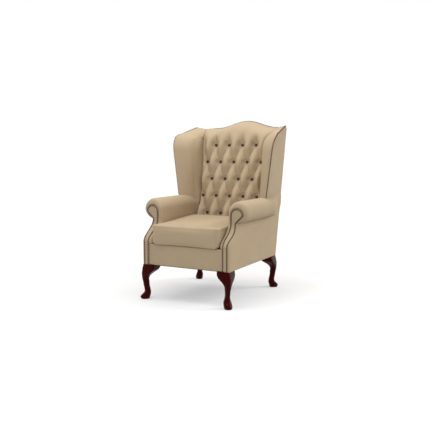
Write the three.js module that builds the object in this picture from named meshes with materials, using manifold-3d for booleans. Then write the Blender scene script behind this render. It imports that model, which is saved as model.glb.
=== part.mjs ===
// Wingback armchair with a deep-buttoned back, scroll arms, a loose seat cushion and four cabriole legs.
// It is built as an upholsterer would build it: a hardwood frame and springs, padded forms over the frame, thin
// covers outside, and buttons, cushion and legs as pieces of their own.
// Millimetres, +Z up. The chair faces -Y, and left means the sitter's left, which is +X.
// Depths are counted from the front face until the last lines, which centre the chair over its origin.

import * as THREE from "three";
import { mergeVertices } from "three/addons/utils/BufferGeometryUtils.js";
import Module from "manifold-3d";

// Overall sizes
const crestHeight = 1090; // floor to the middle of the crest
const shoulderDrop = 46; // middle of the crest above the dips beside it, and above the ears
const bodyWidth = 580;
const bodyDepth = 682; // front face to back face, along the underside
const legHeight = 210;
const backRakeDeg = 11.8; // lean of the outside back
const seam = 0.4; // gap left between pieces that touch
const overrun = 40; // reach of a cutting shape past what it cuts

// Covers and frame stock
const coverThickness = 6; // leather on its backing board
const coverSetback = 2; // outside panels start this far behind the front face
const coverReturn = 9; // width of an outside panel's turned-in front edge
const railThickness = 28;
const backPostWidth = 36;
const backPostDepth = 45;
const topRailHeight = 92;
const topRailPadding = 15; // padding over the top rail
const lowerBackRailHeight = 60;
const boardThickness = 18;
const borderSetback = 7; // front border behind the front face
const dustCoverThickness = 1.4;
const dustCoverInset = 9;

// Seat
const armThickness = 64; // inner face of an arm to the outside of the body
const borderHeight = 127; // top of the legs to the underside of the cushion
const cushionThickness = 115; // at the boxed edge
const cushionCrown = 9;
const cushionSideGap = 3;
const cushionBackGap = 8;
const cushionSetback = 19; // lower front edge behind the front face
const cushionFrontLean = 9;
const cushionLowerCorner = 26; // roundness of the lower side edges, seen from the front
const cushionEdge = 8; // roundness of the boxed edges
const cushionPlanCorner = 30;
const cushionDrawIn = 4; // how far the sides pull in between the corners
const cushionLevelShares = [0, 0.05, 0.14, 0.24, 0.5, 0.78, 0.93, 1];
const crownInsetShares = [0.12, 0.3, 0.55, 0.85];
const platformThickness = 30;
const springWire = 4;
const springCount = 4;
const springLoops = 8; // full waves along one spring
const springSwing = 24; // half the width of a spring
const springMargin = 14; // rest of a spring's end on its rail

// Arms
const armRise = 148; // top of the arm above the cushion's edge
const armRollRadius = 62;
const armSetback = 105; // scroll face behind the front face
const sweepRise = 29; // start of the sweep of the arm front, above the underside of the cushion
const sweepStop = 6; // end of the sweep, under the bottom of the roll
const sweepPower = 1.15;
const rollTaperSetback = 48; // where the outer half of the roll starts to thin out, behind the wing's front
const rollBackRadius = 5; // what is left of it at the back
const rollNoseDepth = 80; // length of the rounded front of a roll
const rollLip = 3; // roll round the rim of its facing
const wallNose = 21; // rounding of the inside arm's front edge
const facingInset = 20; // inner face of an arm to the inner edge of its facing
const facingWidth = 34;
const facingThickness = 10;
const facingLap = 5; // facing past its post on either side
const scrollRadius = 40; // head of the facing
const scrollDrop = 79; // middle of the scroll under the top of the arm
const scrollBlockDepth = 34;
const armPostDepth = 48;
const armRailHeight = 40;

// Wings
const wingLength = 291.4; // stud line of the wing's front edge, ahead of the outside back at arm height
const wingBottomSpread = 24; // stud line outside the body at arm height
const wingTopSpread = 71.5; // and at the widest height
const wingWidestDrop = 64; // widest place of the wing under the ears
const earSpread = 38;
const earLength = 123.1; // ear ahead of the outside back
const wingRoundDrop = 154; // start of the quarter round at the wing's top front, under the ears
const wingRoundHeight = 98;
const wingRoundDepth = 95;
const wingRollDepth = 18; // padded roll ahead of the stud line
const wingRollProud = 3; // and outside the panel
const wingRollBack = 25; // where the roll ends on the inside, behind the stud line
const wingInnerBottom = 34; // inner side of the roll inside the body's width, at arm height
const wingInnerTop = 18; // and at the widest height
const wingCrown = 6; // padding between the roll and the inside back
const wingBoardSetback = 22; // board behind the stud line
const wingLevelShares = [0, 0.083, 0.19, 0.31, 0.43, 0.55, 0.66, 0.735, 0.79, 0.835, 0.87, 0.9, 0.93, 0.96, 0.985, 1];

// Inside back
const backSeamBottom = 74; // side seam of the inside back inside the body's width, up to the arms
const backSeamTop = 38; // and where the crest's roll starts
const buttonLeanDeg = 16.1; // lean of the plane that the buttons lie in
const buttonPlaneSetback = 153; // that plane ahead of the outside back, at the top row of buttons
const topButtonDrop = 164; // top row of buttons under the middle of the crest
const lastButtonRise = 32; // lowest row over the cushion's edge
const buttonSideMargin = 20; // outermost buttons inside the side seam, at arm height
const buttonRows = 5;
const longRow = 5; // buttons in every other row, with one fewer in the rows between
const tuftDepth = 30; // crown of a diamond in front of its buttons
const pleatRise = 13; // middle of a pleat in front of its buttons
const tuftRound = 0.7;
const sideSeamRise = 24; // side seam in front of the buttons
const sideFade = 38; // width over which the tufts run out at the sides
const pleatFade = 64; // length of the upright pleats over the top row
const crestRollHeight = 74;
const crestHalfSpan = 222;
const flatRise = 10; // the back is flat up to this height over the cushion's edge
const buttonRadius = 10;
const buttonRim = 2.5;
const buttonDome = 5.5;

// Legs
const legBlock = 80; // side of the square top
const shankDiameter = 33;
const footLength = 56;
const footWidth = 46;
const hangerBoltRadius = 4;
const hangerBoltLength = 46;
const hangerBoltLap = 12; // of it inside the leg
const boltInset = 54; // bolt in from both faces of the body
const boltHoleGap = 0.4;
const cornerBlockLeg = 74;
const cornerBlockHeight = 70;

// A leg's cross-sections, each with its height as a share of the leg, its reach outwards along the diagonal as a
// share of the block, and its size. The knee's are square to start with, and squareness falls to a circle's 2.
const kneeShares = [
  [1, 0, 0.5, 8],
  [0.94, 0.035, 0.525, 7],
  [0.885, 0.195, 0.487, 5],
  [0.833, 0.33, 0.447, 4],
  [0.77, 0.432, 0.381, 3.2],
  [0.705, 0.508, 0.322, 2.6],
  [0.648, 0.53, 0.279, 2.3],
];
const shankShares = [
  [0.586, 0.505, 0.606],
  [0.495, 0.43, 0.576],
  [0.43, 0.405, 0.51],
  [0.357, 0.362, 0.494],
  [0.286, 0.319, 0.491],
  [0.229, 0.305, 0.515],
];
const footShares = [
  [0.181, 0.33, 0.339, 0.391],
  [0.143, 0.38, 0.411, 0.446],
  [0.095, 0.455, 0.482, 0.5],
  [0.057, 0.488, 0.496, 0.5],
  [0.024, 0.488, 0.461, 0.467],
  [0, 0.481, 0.418, 0.424],
];

// Numbers of facets
const ringPoints = 16;
const rollPoints = 24;
const buttonFacets = 10;
const pitFacets = 8;
const boltFacets = 10;
const wireFacets = 5;
const stepsPerLoop = 6;
const crestSteps = 20;

// What follows from the sizes above
const bodyHalf = bodyWidth / 2;
const bodyBottom = legHeight + seam;
const cushionBottom = legHeight + borderHeight;
const cushionTop = cushionBottom + cushionThickness;
const armHeight = cushionTop + armRise;
const shoulderHeight = crestHeight - shoulderDrop;
const wingWidestHeight = shoulderHeight - wingWidestDrop;
const wingRoundStart = shoulderHeight - wingRoundDrop;
const topButtonHeight = crestHeight - topButtonDrop;
const lastRowHeight = cushionTop + lastButtonRise;
const buttonRowPitch = (topButtonHeight - lastRowHeight) / (buttonRows - 1);
const buttonColumnPitch = (2 * (bodyHalf - backSeamBottom - buttonSideMargin)) / (longRow - 1);
const flatBelow = cushionTop + flatRise;
const seatHalfWidth = bodyHalf - armThickness;
const tanRake = Math.tan(THREE.MathUtils.degToRad(backRakeDeg));
const tanLean = Math.tan(THREE.MathUtils.degToRad(buttonLeanDeg));
const coverAndSeam = coverThickness + seam;
const frameHalf = bodyHalf - coverAndSeam;
const frameDepth = coverAndSeam + backPostDepth; // outside back to the front of the back posts
const rollX = seatHalfWidth + armRollRadius;
const rollHeight = armHeight - armRollRadius;
const rollBottom = rollHeight - armRollRadius;
const scrollHeight = armHeight - scrollDrop;
const sweepStart = cushionBottom + sweepRise;
const sweepEnd = rollBottom - sweepStop;
const facingInner = seatHalfWidth + facingInset;
const facingOuter = facingInner + facingWidth;
const postInner = facingInner + facingLap;
const postOuter = facingOuter - facingLap;
const armRailBottom = rollHeight + seam - armRailHeight;
const platformBottom = cushionBottom - seam - platformThickness;
const springHeight = platformBottom - seam - springWire / 2;
const railTop = springHeight - springWire / 2 - seam;
const postInsideX = frameHalf - backPostWidth;
const frontRailY = borderSetback + coverAndSeam;

// Lines that several pieces follow

// Depth of the outside back at a height.
const backAt = (z) => bodyDepth + (z - bodyBottom) * tanRake;

const wingFront = backAt(armHeight) - wingLength;
const rollTaperStart = wingFront + rollTaperSetback;

// Depth of the button plane at a height.
const buttonPlaneAt = (z) => backAt(topButtonHeight) - buttonPlaneSetback + (z - topButtonHeight) * tanLean;

const lowerBackFace = buttonPlaneAt(flatBelow) - tuftDepth;

// Depth of the arm's swept front at a height.
function armFrontAt(z) {
  const share = THREE.MathUtils.clamp((z - sweepStart) / (sweepEnd - sweepStart), 0, 1);
  return armSetback * Math.sin((share * Math.PI) / 2) ** sweepPower;
}

// Height of the crest line over a place across the back.
function crestAt(x) {
  const share = Math.min(Math.abs(x) / crestHalfSpan, 1);
  return shoulderHeight + ((crestHeight - shoulderHeight) * (1 + Math.cos(Math.PI * share))) / 2;
}

// Half width of the inside back at a height.
function seamAt(z) {
  const top = shoulderHeight - crestRollHeight;
  const share = THREE.MathUtils.clamp((z - armHeight) / (top - armHeight), 0, 1);
  return bodyHalf - THREE.MathUtils.lerp(backSeamBottom, backSeamTop, share);
}

// Depth of the inside back at its side seams.
const seamDepthAt = (z) => (z < flatBelow ? lowerBackFace : buttonPlaneAt(z) - sideSeamRise);

// Depth of the wing's stud line at a height: upright, then a quarter round, then the slope to the ear.
function wingFrontAt(z) {
  const roundTop = wingRoundStart + wingRoundHeight;
  if (z <= wingRoundStart) return wingFront;
  if (z >= roundTop) {
    const share = (z - roundTop) / (shoulderHeight - roundTop);
    return THREE.MathUtils.lerp(wingFront + wingRoundDepth, backAt(shoulderHeight) - earLength, share);
  }
  const share = (z - wingRoundStart) / wingRoundHeight;
  return wingFront + wingRoundDepth * (1 - Math.sqrt(1 - share * share));
}

// Distance of the wing's stud line from the centre line at a height.
function wingSpreadAt(z) {
  const low = bodyHalf + wingBottomSpread;
  const wide = bodyHalf + wingTopSpread;
  if (z <= wingWidestHeight) {
    return THREE.MathUtils.lerp(low, wide, (z - armHeight) / (wingWidestHeight - armHeight));
  }
  const share = (z - wingWidestHeight) / (shoulderHeight - wingWidestHeight);
  return THREE.MathUtils.lerp(wide, bodyHalf + earSpread, share);
}

// Distance of the outside wing from the centre line: straight from the stud line to the back corner.
function wingOutsideAt(y, z) {
  const share = (backAt(z) - y) / (backAt(z) - wingFrontAt(z));
  return THREE.MathUtils.lerp(bodyHalf, wingSpreadAt(z), share);
}

// Distance of the wing's inside from the centre line, from the roll to the inside back's seam.
function wingInsideAt(y, z) {
  const high = (z - armHeight) / (wingWidestHeight - armHeight);
  const front = bodyHalf - THREE.MathUtils.lerp(wingInnerBottom, wingInnerTop, Math.min(high, 1));
  const start = wingFront + wingRollBack;
  const share = THREE.MathUtils.clamp((y - start) / (seamDepthAt(z) - start), 0, 1);
  return THREE.MathUtils.lerp(front, seamAt(z) + seam, share);
}

const steps = (count) => Array.from({ length: count + 1 }, (_, i) => i / count);
const between = (from, to, count) => steps(count).map((share) => THREE.MathUtils.lerp(from, to, share));
const sweepHeights = between(sweepStart, sweepEnd, 6);
const crestPlaces = between(-crestHalfSpan, crestHalfSpan, crestSteps);
const wingHeights = wingLevelShares.map((share) => THREE.MathUtils.lerp(rollBottom + seam, shoulderHeight, share));

// Solids

const wasm = await Module();
wasm.setup();

// A three.js geometry as a solid that can be cut.
function solidOf(geometry) {
  const bare = geometry.clone();
  bare.deleteAttribute("normal");
  bare.deleteAttribute("uv");
  const merged = mergeVertices(bare, seam / 100);
  const mesh = new wasm.Mesh({
    numProp: 3,
    vertProperties: merged.attributes.position.array,
    triVerts: new Uint32Array(merged.index.array),
  });
  return new wasm.Manifold(mesh);
}

function geometryOf(solid) {
  const mesh = solid.getMesh();
  const geometry = new THREE.BufferGeometry();
  geometry.setAttribute("position", new THREE.BufferAttribute(new Float32Array(mesh.vertProperties), 3));
  geometry.setIndex(new THREE.BufferAttribute(new Uint32Array(mesh.triVerts), 1));
  return geometry;
}

// What is left of a solid after cuts: its largest body, without the crumbs.
function cut(geometry, ...tools) {
  const rest = tools.reduce((solid, tool) => solid.subtract(solidOf(tool)), solidOf(geometry));
  const bodies = rest.decompose();
  bodies.sort((a, b) => b.volume() - a.volume());
  return geometryOf(bodies[0]);
}

function join(geometry, ...others) {
  return geometryOf(others.reduce((solid, other) => solid.add(solidOf(other)), solidOf(geometry)));
}

function volumeOf(points, faces) {
  const product = new THREE.Vector3();
  let volume = 0;
  for (const [a, b, c] of faces) volume += points[a].dot(product.crossVectors(points[b], points[c]));
  return volume;
}

// A closed skin over rings of equal length, with a cap over the first and the last.
// flat names the two coordinates that the caps are laid out in. Each quad folds along its first diagonal,
// or where sinks names a coordinate, along the diagonal whose ends lie further along that coordinate.
function skin(rings, flat, sinks) {
  const size = rings[0].length;
  const points = rings.flat();
  const faces = [];
  for (let k = 0; k + 1 < rings.length; k++) {
    for (let i = 0; i < size; i++) {
      const a = k * size + i;
      const b = k * size + ((i + 1) % size);
      const [c, d] = [a + size, b + size];
      const turned = sinks && points[a][sinks] + points[d][sinks] > points[b][sinks] + points[c][sinks];
      if (turned) faces.push([a, b, d], [a, d, c]);
      else faces.push([a, b, c], [b, d, c]);
    }
  }
  const addCap = (ring, first, withRing) => {
    const outline = ring.map((point) => new THREE.Vector2(point[flat[0]], point[flat[1]]));
    const clockwise = THREE.ShapeUtils.isClockWise(outline);
    for (const [a, b, c] of THREE.ShapeUtils.triangulateShape(outline, [])) {
      const along = THREE.ShapeUtils.isClockWise([outline[a], outline[b], outline[c]]) === clockwise;
      faces.push(along === withRing ? [first + a, first + b, first + c] : [first + a, first + c, first + b]);
    }
  };
  addCap(rings[0], 0, false);
  addCap(rings[rings.length - 1], (rings.length - 1) * size, true);
  const outwards = volumeOf(points, faces) > 0 ? faces : faces.map(([a, b, c]) => [a, c, b]);
  const geometry = new THREE.BufferGeometry().setFromPoints(points);
  geometry.setIndex(outwards.flat());
  return geometry;
}

const at = (x, y, z) => new THREE.Vector3(x, y, z);

// A box between two values on each axis.
function block([x0, x1], [y0, y1], [z0, z1]) {
  const box = new THREE.BoxGeometry(x1 - x0, y1 - y0, z1 - z0);
  return box.translate((x0 + x1) / 2, (y0 + y1) / 2, (z0 + z1) / 2);
}

// An outline of [across, up] points, extruded from one depth to another.
function frontProfile(outline, [y0, y1]) {
  const shape = new THREE.Shape(outline.map(([x, z]) => new THREE.Vector2(x, z)));
  const made = new THREE.ExtrudeGeometry(shape, { depth: y1 - y0, bevelEnabled: false });
  return made.rotateX(Math.PI / 2).translate(0, y1, 0);
}

// An outline of [depth, up] points, extruded from one place across to another.
function sideProfile(outline, [x0, x1]) {
  const shape = new THREE.Shape(outline.map(([y, z]) => new THREE.Vector2(y, z)));
  const made = new THREE.ExtrudeGeometry(shape, { depth: x1 - x0, bevelEnabled: false });
  return made.applyMatrix4(new THREE.Matrix4().set(0, 0, 1, x0, 1, 0, 0, 0, 0, 1, 0, 0, 0, 0, 0, 1));
}

// An outline of [across, depth] points, extruded from one height to another.
function planProfile(outline, [z0, z1]) {
  const shape = new THREE.Shape(outline.map(([x, y]) => new THREE.Vector2(x, y)));
  const made = new THREE.ExtrudeGeometry(shape, { depth: z1 - z0, bevelEnabled: false });
  return made.translate(0, 0, z0);
}

// Leans a piece that is drawn with the outside back at depth 0 onto the raked back.
function raked(geometry) {
  const start = backAt(0);
  return geometry.applyMatrix4(new THREE.Matrix4().set(1, 0, 0, 0, 0, 1, tanRake, start, 0, 0, 1, 0, 0, 0, 0, 1));
}

// A copy reflected in the middle plane across the chair, or in the one along it.
function reflected(geometry, across, along = false) {
  const copy = geometry.index ? geometry.toNonIndexed() : geometry.clone();
  copy.scale(across ? -1 : 1, along ? -1 : 1, 1);
  if (along) copy.translate(0, bodyDepth, 0);
  if (across === along) return copy;
  const place = copy.attributes.position;
  const [a, b] = [new THREE.Vector3(), new THREE.Vector3()];
  for (let i = 0; i < place.count; i += 3) {
    a.fromBufferAttribute(place, i + 1);
    b.fromBufferAttribute(place, i + 2);
    place.setXYZ(i + 1, b.x, b.y, b.z);
    place.setXYZ(i + 2, a.x, a.y, a.z);
  }
  return copy;
}

// Frame

// Front post of an arm. It follows the swept front, and a round block behind the scroll crowns it.
function armPost(grow = 0) {
  const setback = facingThickness + seam - grow;
  const depth = armPostDepth + 2 * grow;
  const heights = [bodyBottom, ...sweepHeights, rollHeight + seam + grow];
  const fore = heights.map((z) => [armFrontAt(z) + setback, z]);
  const aft = fore.map(([y, z]) => [y + depth, z]).reverse();
  const post = sideProfile([...fore, ...aft], [postInner - grow, postOuter + grow]);
  const radius = scrollRadius - coverAndSeam + grow;
  const scroll = new THREE.CylinderGeometry(radius, radius, scrollBlockDepth + 2 * grow, ringPoints);
  scroll.translate(facingInner + scrollRadius, armSetback + setback + scrollBlockDepth / 2 + grow, scrollHeight);
  return join(post, scroll);
}

// Rail inside the arm roll, from the front post to the back post.
function armRail(grow = 0) {
  const start = armSetback + facingThickness + seam + armPostDepth + seam - grow;
  const [low, high] = [armRailBottom - grow, armRailBottom + armRailHeight + grow];
  const endAt = (z) => backAt(z) - frameDepth - seam + grow;
  const outline = [[start, low], [endAt(low), low], [endAt(high), high], [start, high]];
  return sideProfile(outline, [postInner - grow, postOuter + grow]);
}

// Side rail of the seat, with the corner blocks that the legs bolt through.
function sideRail() {
  const start = facingThickness + seam + armPostDepth + seam;
  const endAt = (z) => backAt(z) - frameDepth - seam;
  const inner = frameHalf - railThickness;
  const outline = [[start, bodyBottom], [endAt(bodyBottom), bodyBottom], [endAt(railTop), railTop], [start, railTop]];
  const rail = sideProfile(outline, [inner, frameHalf]);
  const heights = [bodyBottom, bodyBottom + cornerBlockHeight];
  const lap = inner + coverThickness;
  const frontY = frontRailY + railThickness + seam;
  const frontX = postInner - seam;
  const front = planProfile(
    [[frontX, frontY], [frontX, start], [lap, start], [lap, frontY + cornerBlockLeg], [frontX - cornerBlockLeg, frontY]],
    heights,
  );
  const rearY = bodyDepth - coverAndSeam - railThickness - seam;
  const rearX = postInsideX - seam;
  const stop = endAt(bodyBottom);
  const rear = planProfile(
    [[rearX, rearY], [rearX - cornerBlockLeg, rearY], [lap, rearY - cornerBlockLeg], [lap, stop], [rearX, stop]],
    heights,
  );
  const radius = hangerBoltRadius + boltHoleGap;
  const hole = new THREE.CylinderGeometry(radius, radius, legHeight, boltFacets).rotateX(Math.PI / 2);
  hole.translate(bodyHalf - boltInset, boltInset, legHeight);
  return cut(join(rail, front, rear), hole, reflected(hole, false, true));
}

function frontRail() {
  const half = postInner - seam;
  return block([-half, half], [frontRailY, frontRailY + railThickness], [bodyBottom, railTop]);
}

// A piece between the back posts, or one post, upright until it is raked.
function rakedBlock([x0, x1], depth, [z0, z1], grow = 0) {
  const outline = [[x0 - grow, z0 - grow], [x1 + grow, z0 - grow], [x1 + grow, z1 + grow], [x0 - grow, z1 + grow]];
  return raked(frontProfile(outline, [-coverAndSeam - depth - grow, -coverAndSeam + grow]));
}

function topRail() {
  const half = postInsideX - seam;
  const bottom = shoulderHeight - topRailPadding - topRailHeight;
  const side = shoulderHeight - topRailPadding;
  const crest = crestPlaces.map((x) => [x, crestAt(x) - topRailPadding]);
  const outline = [[-half, bottom], [half, bottom], [half, side], ...crest.reverse(), [-half, side]];
  return raked(frontProfile(outline, [-frameDepth, -coverAndSeam]));
}

// Everything behind the front of the back frame, up to the padding over the top rail.
function frameSpace() {
  const half = bodyHalf - coverThickness;
  const side = shoulderHeight - topRailPadding + seam;
  const crest = crestPlaces.map((x) => [x, crestAt(x) - topRailPadding + seam]);
  const outline = [[-half, 0], [half, 0], [half, side], ...crest.reverse(), [-half, side]];
  return raked(frontProfile(outline, [-frameDepth - seam, overrun]));
}

// Everything behind the back frame.
function behindFrame() {
  const half = bodyWidth;
  const outline = [[-half, 0], [half, 0], [half, 2 * crestHeight], [-half, 2 * crestHeight]];
  return raked(frontProfile(outline, [-coverAndSeam, bodyDepth]));
}

// Everything outside the line of a wing's outside, moved in by inset.
function outsideOfWing(inset) {
  const rings = wingHeights.map((z) => {
    const [front, back] = [wingFrontAt(z), backAt(z) - coverAndSeam];
    const [outFront, outBack] = [wingOutsideAt(front, z), wingOutsideAt(back, z)];
    return [
      at(bodyWidth, front, z),
      at(bodyWidth, back, z),
      at(outBack - inset, back, z),
      at(outFront - inset, front, z),
    ];
  });
  return skin(rings, ["x", "y"]);
}

// Board inside a wing, from the back post to just behind the stud line.
function wingBoard(grow = 0) {
  const low = rollHeight + 2 * seam - grow;
  const high = shoulderHeight - topRailPadding + grow;
  const heights = [low, ...wingHeights.filter((z) => z > low && z < high), high];
  const inset = coverAndSeam + boardThickness + grow;
  const rings = heights.map((z) => {
    const [front, back] = [wingFrontAt(z) + wingBoardSetback - grow, backAt(z) - frameDepth - seam + grow];
    const [outFront, outBack] = [wingOutsideAt(front, z), wingOutsideAt(back, z)];
    return [at(outFront, front, z), at(outBack, back, z), at(outBack - inset, back, z), at(outFront - inset, front, z)];
  });
  const form = skin(rings, ["x", "y"]);
  return grow > 0 ? form : cut(form, outsideOfWing(coverAndSeam));
}

// A zigzag seat spring, from the front rail to the back rail.
class ZigzagLine extends THREE.Curve {
  constructor(x, front, back) {
    super();
    Object.assign(this, { x, front, back });
  }
  getPoint(share) {
    const swing = springSwing * Math.sin(2 * Math.PI * springLoops * share);
    return at(this.x + swing, THREE.MathUtils.lerp(this.front, this.back, share), springHeight);
  }
}

function seatSpring(index) {
  const pitch = (2 * seatHalfWidth) / springCount;
  const x = (index - (springCount - 1) / 2) * pitch;
  const front = frontRailY + railThickness - springMargin;
  const back = backAt(railTop) - coverAndSeam - railThickness + springMargin;
  const circle = new THREE.Shape().absarc(0, 0, springWire / 2, 0, 2 * Math.PI);
  const wire = new THREE.Shape(circle.getSpacedPoints(wireFacets).slice(1));
  const line = new ZigzagLine(x, front, back);
  return new THREE.ExtrudeGeometry(wire, { steps: springLoops * stepsPerLoop, extrudePath: line });
}

// Legs

// One cross-section of a leg, longer along the diagonal than across it where the two half sizes differ.
function legRing(heightShare, reachShare, along, across, squareness) {
  const reach = (reachShare * legBlock) / Math.SQRT2;
  const middle = legBlock / 2;
  return steps(ringPoints).slice(1).map((turn) => {
    const [cos, sin] = [Math.cos(2 * Math.PI * turn), Math.sin(2 * Math.PI * turn)];
    const x = Math.sign(cos) * Math.abs(cos) ** (2 / squareness);
    const y = Math.sign(sin) * Math.abs(sin) ** (2 / squareness);
    const outwards = (along * (x - y)) / 2;
    const sideways = (across * (x + y)) / 2;
    const offset = outwards + reach;
    return at(bodyHalf - middle + offset + sideways, middle - offset + sideways, legHeight * heightShare);
  });
}

// A cabriole leg: a square top, a knee that swells past the body, a thin ankle, a pad foot and a hanger bolt.
function cabrioleLeg() {
  const knee = kneeShares.map(([z, reach, side, square]) => legRing(z, reach, side * legBlock, side * legBlock, square));
  const shank = shankShares.map(([z, reach, side]) => {
    return legRing(z, reach, side * shankDiameter, side * shankDiameter, 2);
  });
  const foot = footShares.map(([z, reach, long, wide]) => legRing(z, reach, long * footLength, wide * footWidth, 2));
  const leg = skin([...knee, ...shank, ...foot], ["x", "y"]);
  const length = hangerBoltLap + hangerBoltLength;
  const bolt = new THREE.CylinderGeometry(hangerBoltRadius, hangerBoltRadius, length, boltFacets);
  bolt.rotateX(Math.PI / 2).translate(bodyHalf - boltInset, boltInset, legHeight - hangerBoltLap + length / 2);
  return join(leg, bolt);
}

// Seat

// One level of the cushion: straight sides that pull in between round corners.
function cushionRing(z, sideInset, frontInset, lean) {
  const half = seatHalfWidth - cushionSideGap - sideInset;
  const front = cushionSetback + frontInset + lean;
  const back = lowerBackFace - cushionBackGap - frontInset;
  const [middle, reach] = [(front + back) / 2, (back - front) / 2];
  const corner = Math.min(cushionPlanCorner, half / 2);
  const corners = [[1, -1], [1, 1], [-1, 1], [-1, -1]];
  return corners.flatMap(([right, rear], index) => {
    const centre = new THREE.Vector2(right * (half - corner), middle + rear * (reach - corner));
    const start = (index - 1) * (Math.PI / 2);
    const bend = steps(4).map((share) => {
      const angle = start + (share * Math.PI) / 2;
      return at(centre.x + corner * Math.cos(angle), centre.y + corner * Math.sin(angle), z);
    });
    const [nextRight, nextRear] = corners[(index + 1) % corners.length];
    const end = start + Math.PI / 2;
    const from = bend[bend.length - 1];
    const to = at(nextRight * (half - corner), middle + nextRear * (reach - corner), z);
    to.add(at(corner * Math.cos(end), corner * Math.sin(end), 0).setZ(0));
    const side = steps(6).slice(1, -1).map((share) => {
      const pull = cushionDrawIn * Math.sin(Math.PI * share);
      const point = from.clone().lerp(to, share);
      return at(point.x - pull * Math.cos(end), point.y - pull * Math.sin(end), z);
    });
    return [...bend, ...side];
  });
}

function seatCushion() {
  const roundOff = (radius, height) => radius * (1 - Math.sqrt(1 - (1 - Math.min(height / radius, 1)) ** 2));
  const boxed = cushionLevelShares.map((share) => {
    const height = share * cushionThickness;
    const top = roundOff(cushionEdge, cushionThickness - height);
    const side = roundOff(cushionLowerCorner, height) + top;
    const front = roundOff(cushionEdge, height) + top;
    return cushionRing(cushionBottom + height, side, front, cushionFrontLean * share);
  });
  const halfDepth = (lowerBackFace - cushionBackGap - cushionSetback) / 2;
  const crown = crownInsetShares.map((share) => {
    const rise = cushionCrown * Math.sin((share * Math.PI) / 2);
    const inset = share * (Math.min(seatHalfWidth, halfDepth) - cushionPlanCorner);
    return cushionRing(cushionTop + rise, cushionEdge + inset, cushionEdge + inset, cushionFrontLean);
  });
  return skin([...boxed, ...crown], ["x", "y"]);
}

function seatPlatform() {
  const half = postInner - seam;
  const back = backAt(platformBottom) - frameDepth - seam;
  return block([-half, half], [frontRailY, back], [platformBottom, cushionBottom - seam]);
}

function frontBorder() {
  const half = facingInner - seam;
  return block([-half, half], [borderSetback, borderSetback + coverThickness], [bodyBottom, cushionBottom - seam]);
}

// Thin cloth under the seat, cut out round the legs.
function dustCover() {
  const half = bodyHalf - dustCoverInset;
  const notchX = bodyHalf - legBlock - seam;
  const notchY = legBlock + seam;
  const [front, back] = [dustCoverInset, bodyDepth - dustCoverInset];
  const quarter = [[notchX, front], [notchX, notchY], [half, notchY]];
  const right = [...quarter, ...quarter.map(([x, y]) => [x, front + back - y]).reverse()];
  const outline = [...right, ...right.map(([x, y]) => [-x, y]).reverse()];
  return planProfile(outline, [legHeight - dustCoverThickness, legHeight]);
}

// Arms

// Edges of the facing at a height: a strip, a neck and a round scroll.
function facingEdgesAt(z) {
  const middle = facingInner + scrollRadius;
  if (z > scrollHeight) {
    const half = Math.sqrt(Math.max(scrollRadius ** 2 - (z - scrollHeight) ** 2, 0));
    return [middle - half, middle + half];
  }
  const flare = THREE.MathUtils.clamp((z - rollBottom) / (scrollHeight - rollBottom), 0, 1);
  return [facingInner, THREE.MathUtils.lerp(facingOuter, middle + scrollRadius, flare)];
}

// Board on the front of an arm, from the underside up to the scroll.
function armFacing(grow = 0) {
  const flare = between(rollBottom, scrollHeight, 4);
  const round = steps(7).slice(1, -1).map((share) => scrollHeight + scrollRadius * Math.sin((share * Math.PI) / 2));
  const heights = [bodyBottom, ...sweepHeights, ...flare, ...round];
  const ringAt = (z, width = grow) => {
    const [inner, outer] = facingEdgesAt(z);
    const front = armFrontAt(z) - grow;
    const back = armFrontAt(z) + facingThickness + grow;
    return [
      at(inner - width, front, z), at(outer + width, front, z), at(outer + width, back, z), at(inner - width, back, z),
    ];
  };
  const top = ringAt(scrollHeight + scrollRadius, seam + grow).map((point) => point.setZ(point.z + grow));
  return skin([...heights.map((z) => ringAt(z)), top], ["x", "y"]);
}

// The scroll roll of an arm: a drum that starts at the facing's rim and thins out outside towards the back.
function armRoll(grow = 0) {
  const first = armSetback + rollLip;
  const straight = armSetback + rollNoseDepth;
  const last = backAt(rollBottom) - coverAndSeam;
  const nose = steps(5).slice(0, -1).map((share) => first + (straight - first) * share ** 2);
  const taper = between(rollTaperStart, last, 5);
  const depths = [...nose, straight, ...taper, backAt(armHeight) + overrun];
  const rings = depths.map((y, index) => {
    const share = THREE.MathUtils.clamp((y - armSetback) / rollNoseDepth, 0, 1);
    const swell = Math.sqrt(1 - (1 - share) ** 2);
    const thin = THREE.MathUtils.clamp((y - rollTaperStart) / (last - rollTaperStart), 0, 1);
    const radius = THREE.MathUtils.lerp(scrollRadius + rollLip, armRollRadius, swell) + grow;
    const outer = Math.max(radius * Math.sqrt(1 - thin ** 2), rollBackRadius + grow);
    const x = THREE.MathUtils.lerp(facingInner + scrollRadius, rollX, swell);
    const z = THREE.MathUtils.lerp(scrollHeight, rollHeight, swell);
    return steps(rollPoints).slice(1).map((turn) => {
      const [cos, sin] = [Math.cos(2 * Math.PI * turn), Math.sin(2 * Math.PI * turn)];
      return at(x + (cos > 0 ? outer : radius) * cos, y - (index === 0 ? grow : 0), z + radius * sin);
    });
  });
  return skin(rings, ["x", "z"]);
}

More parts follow.
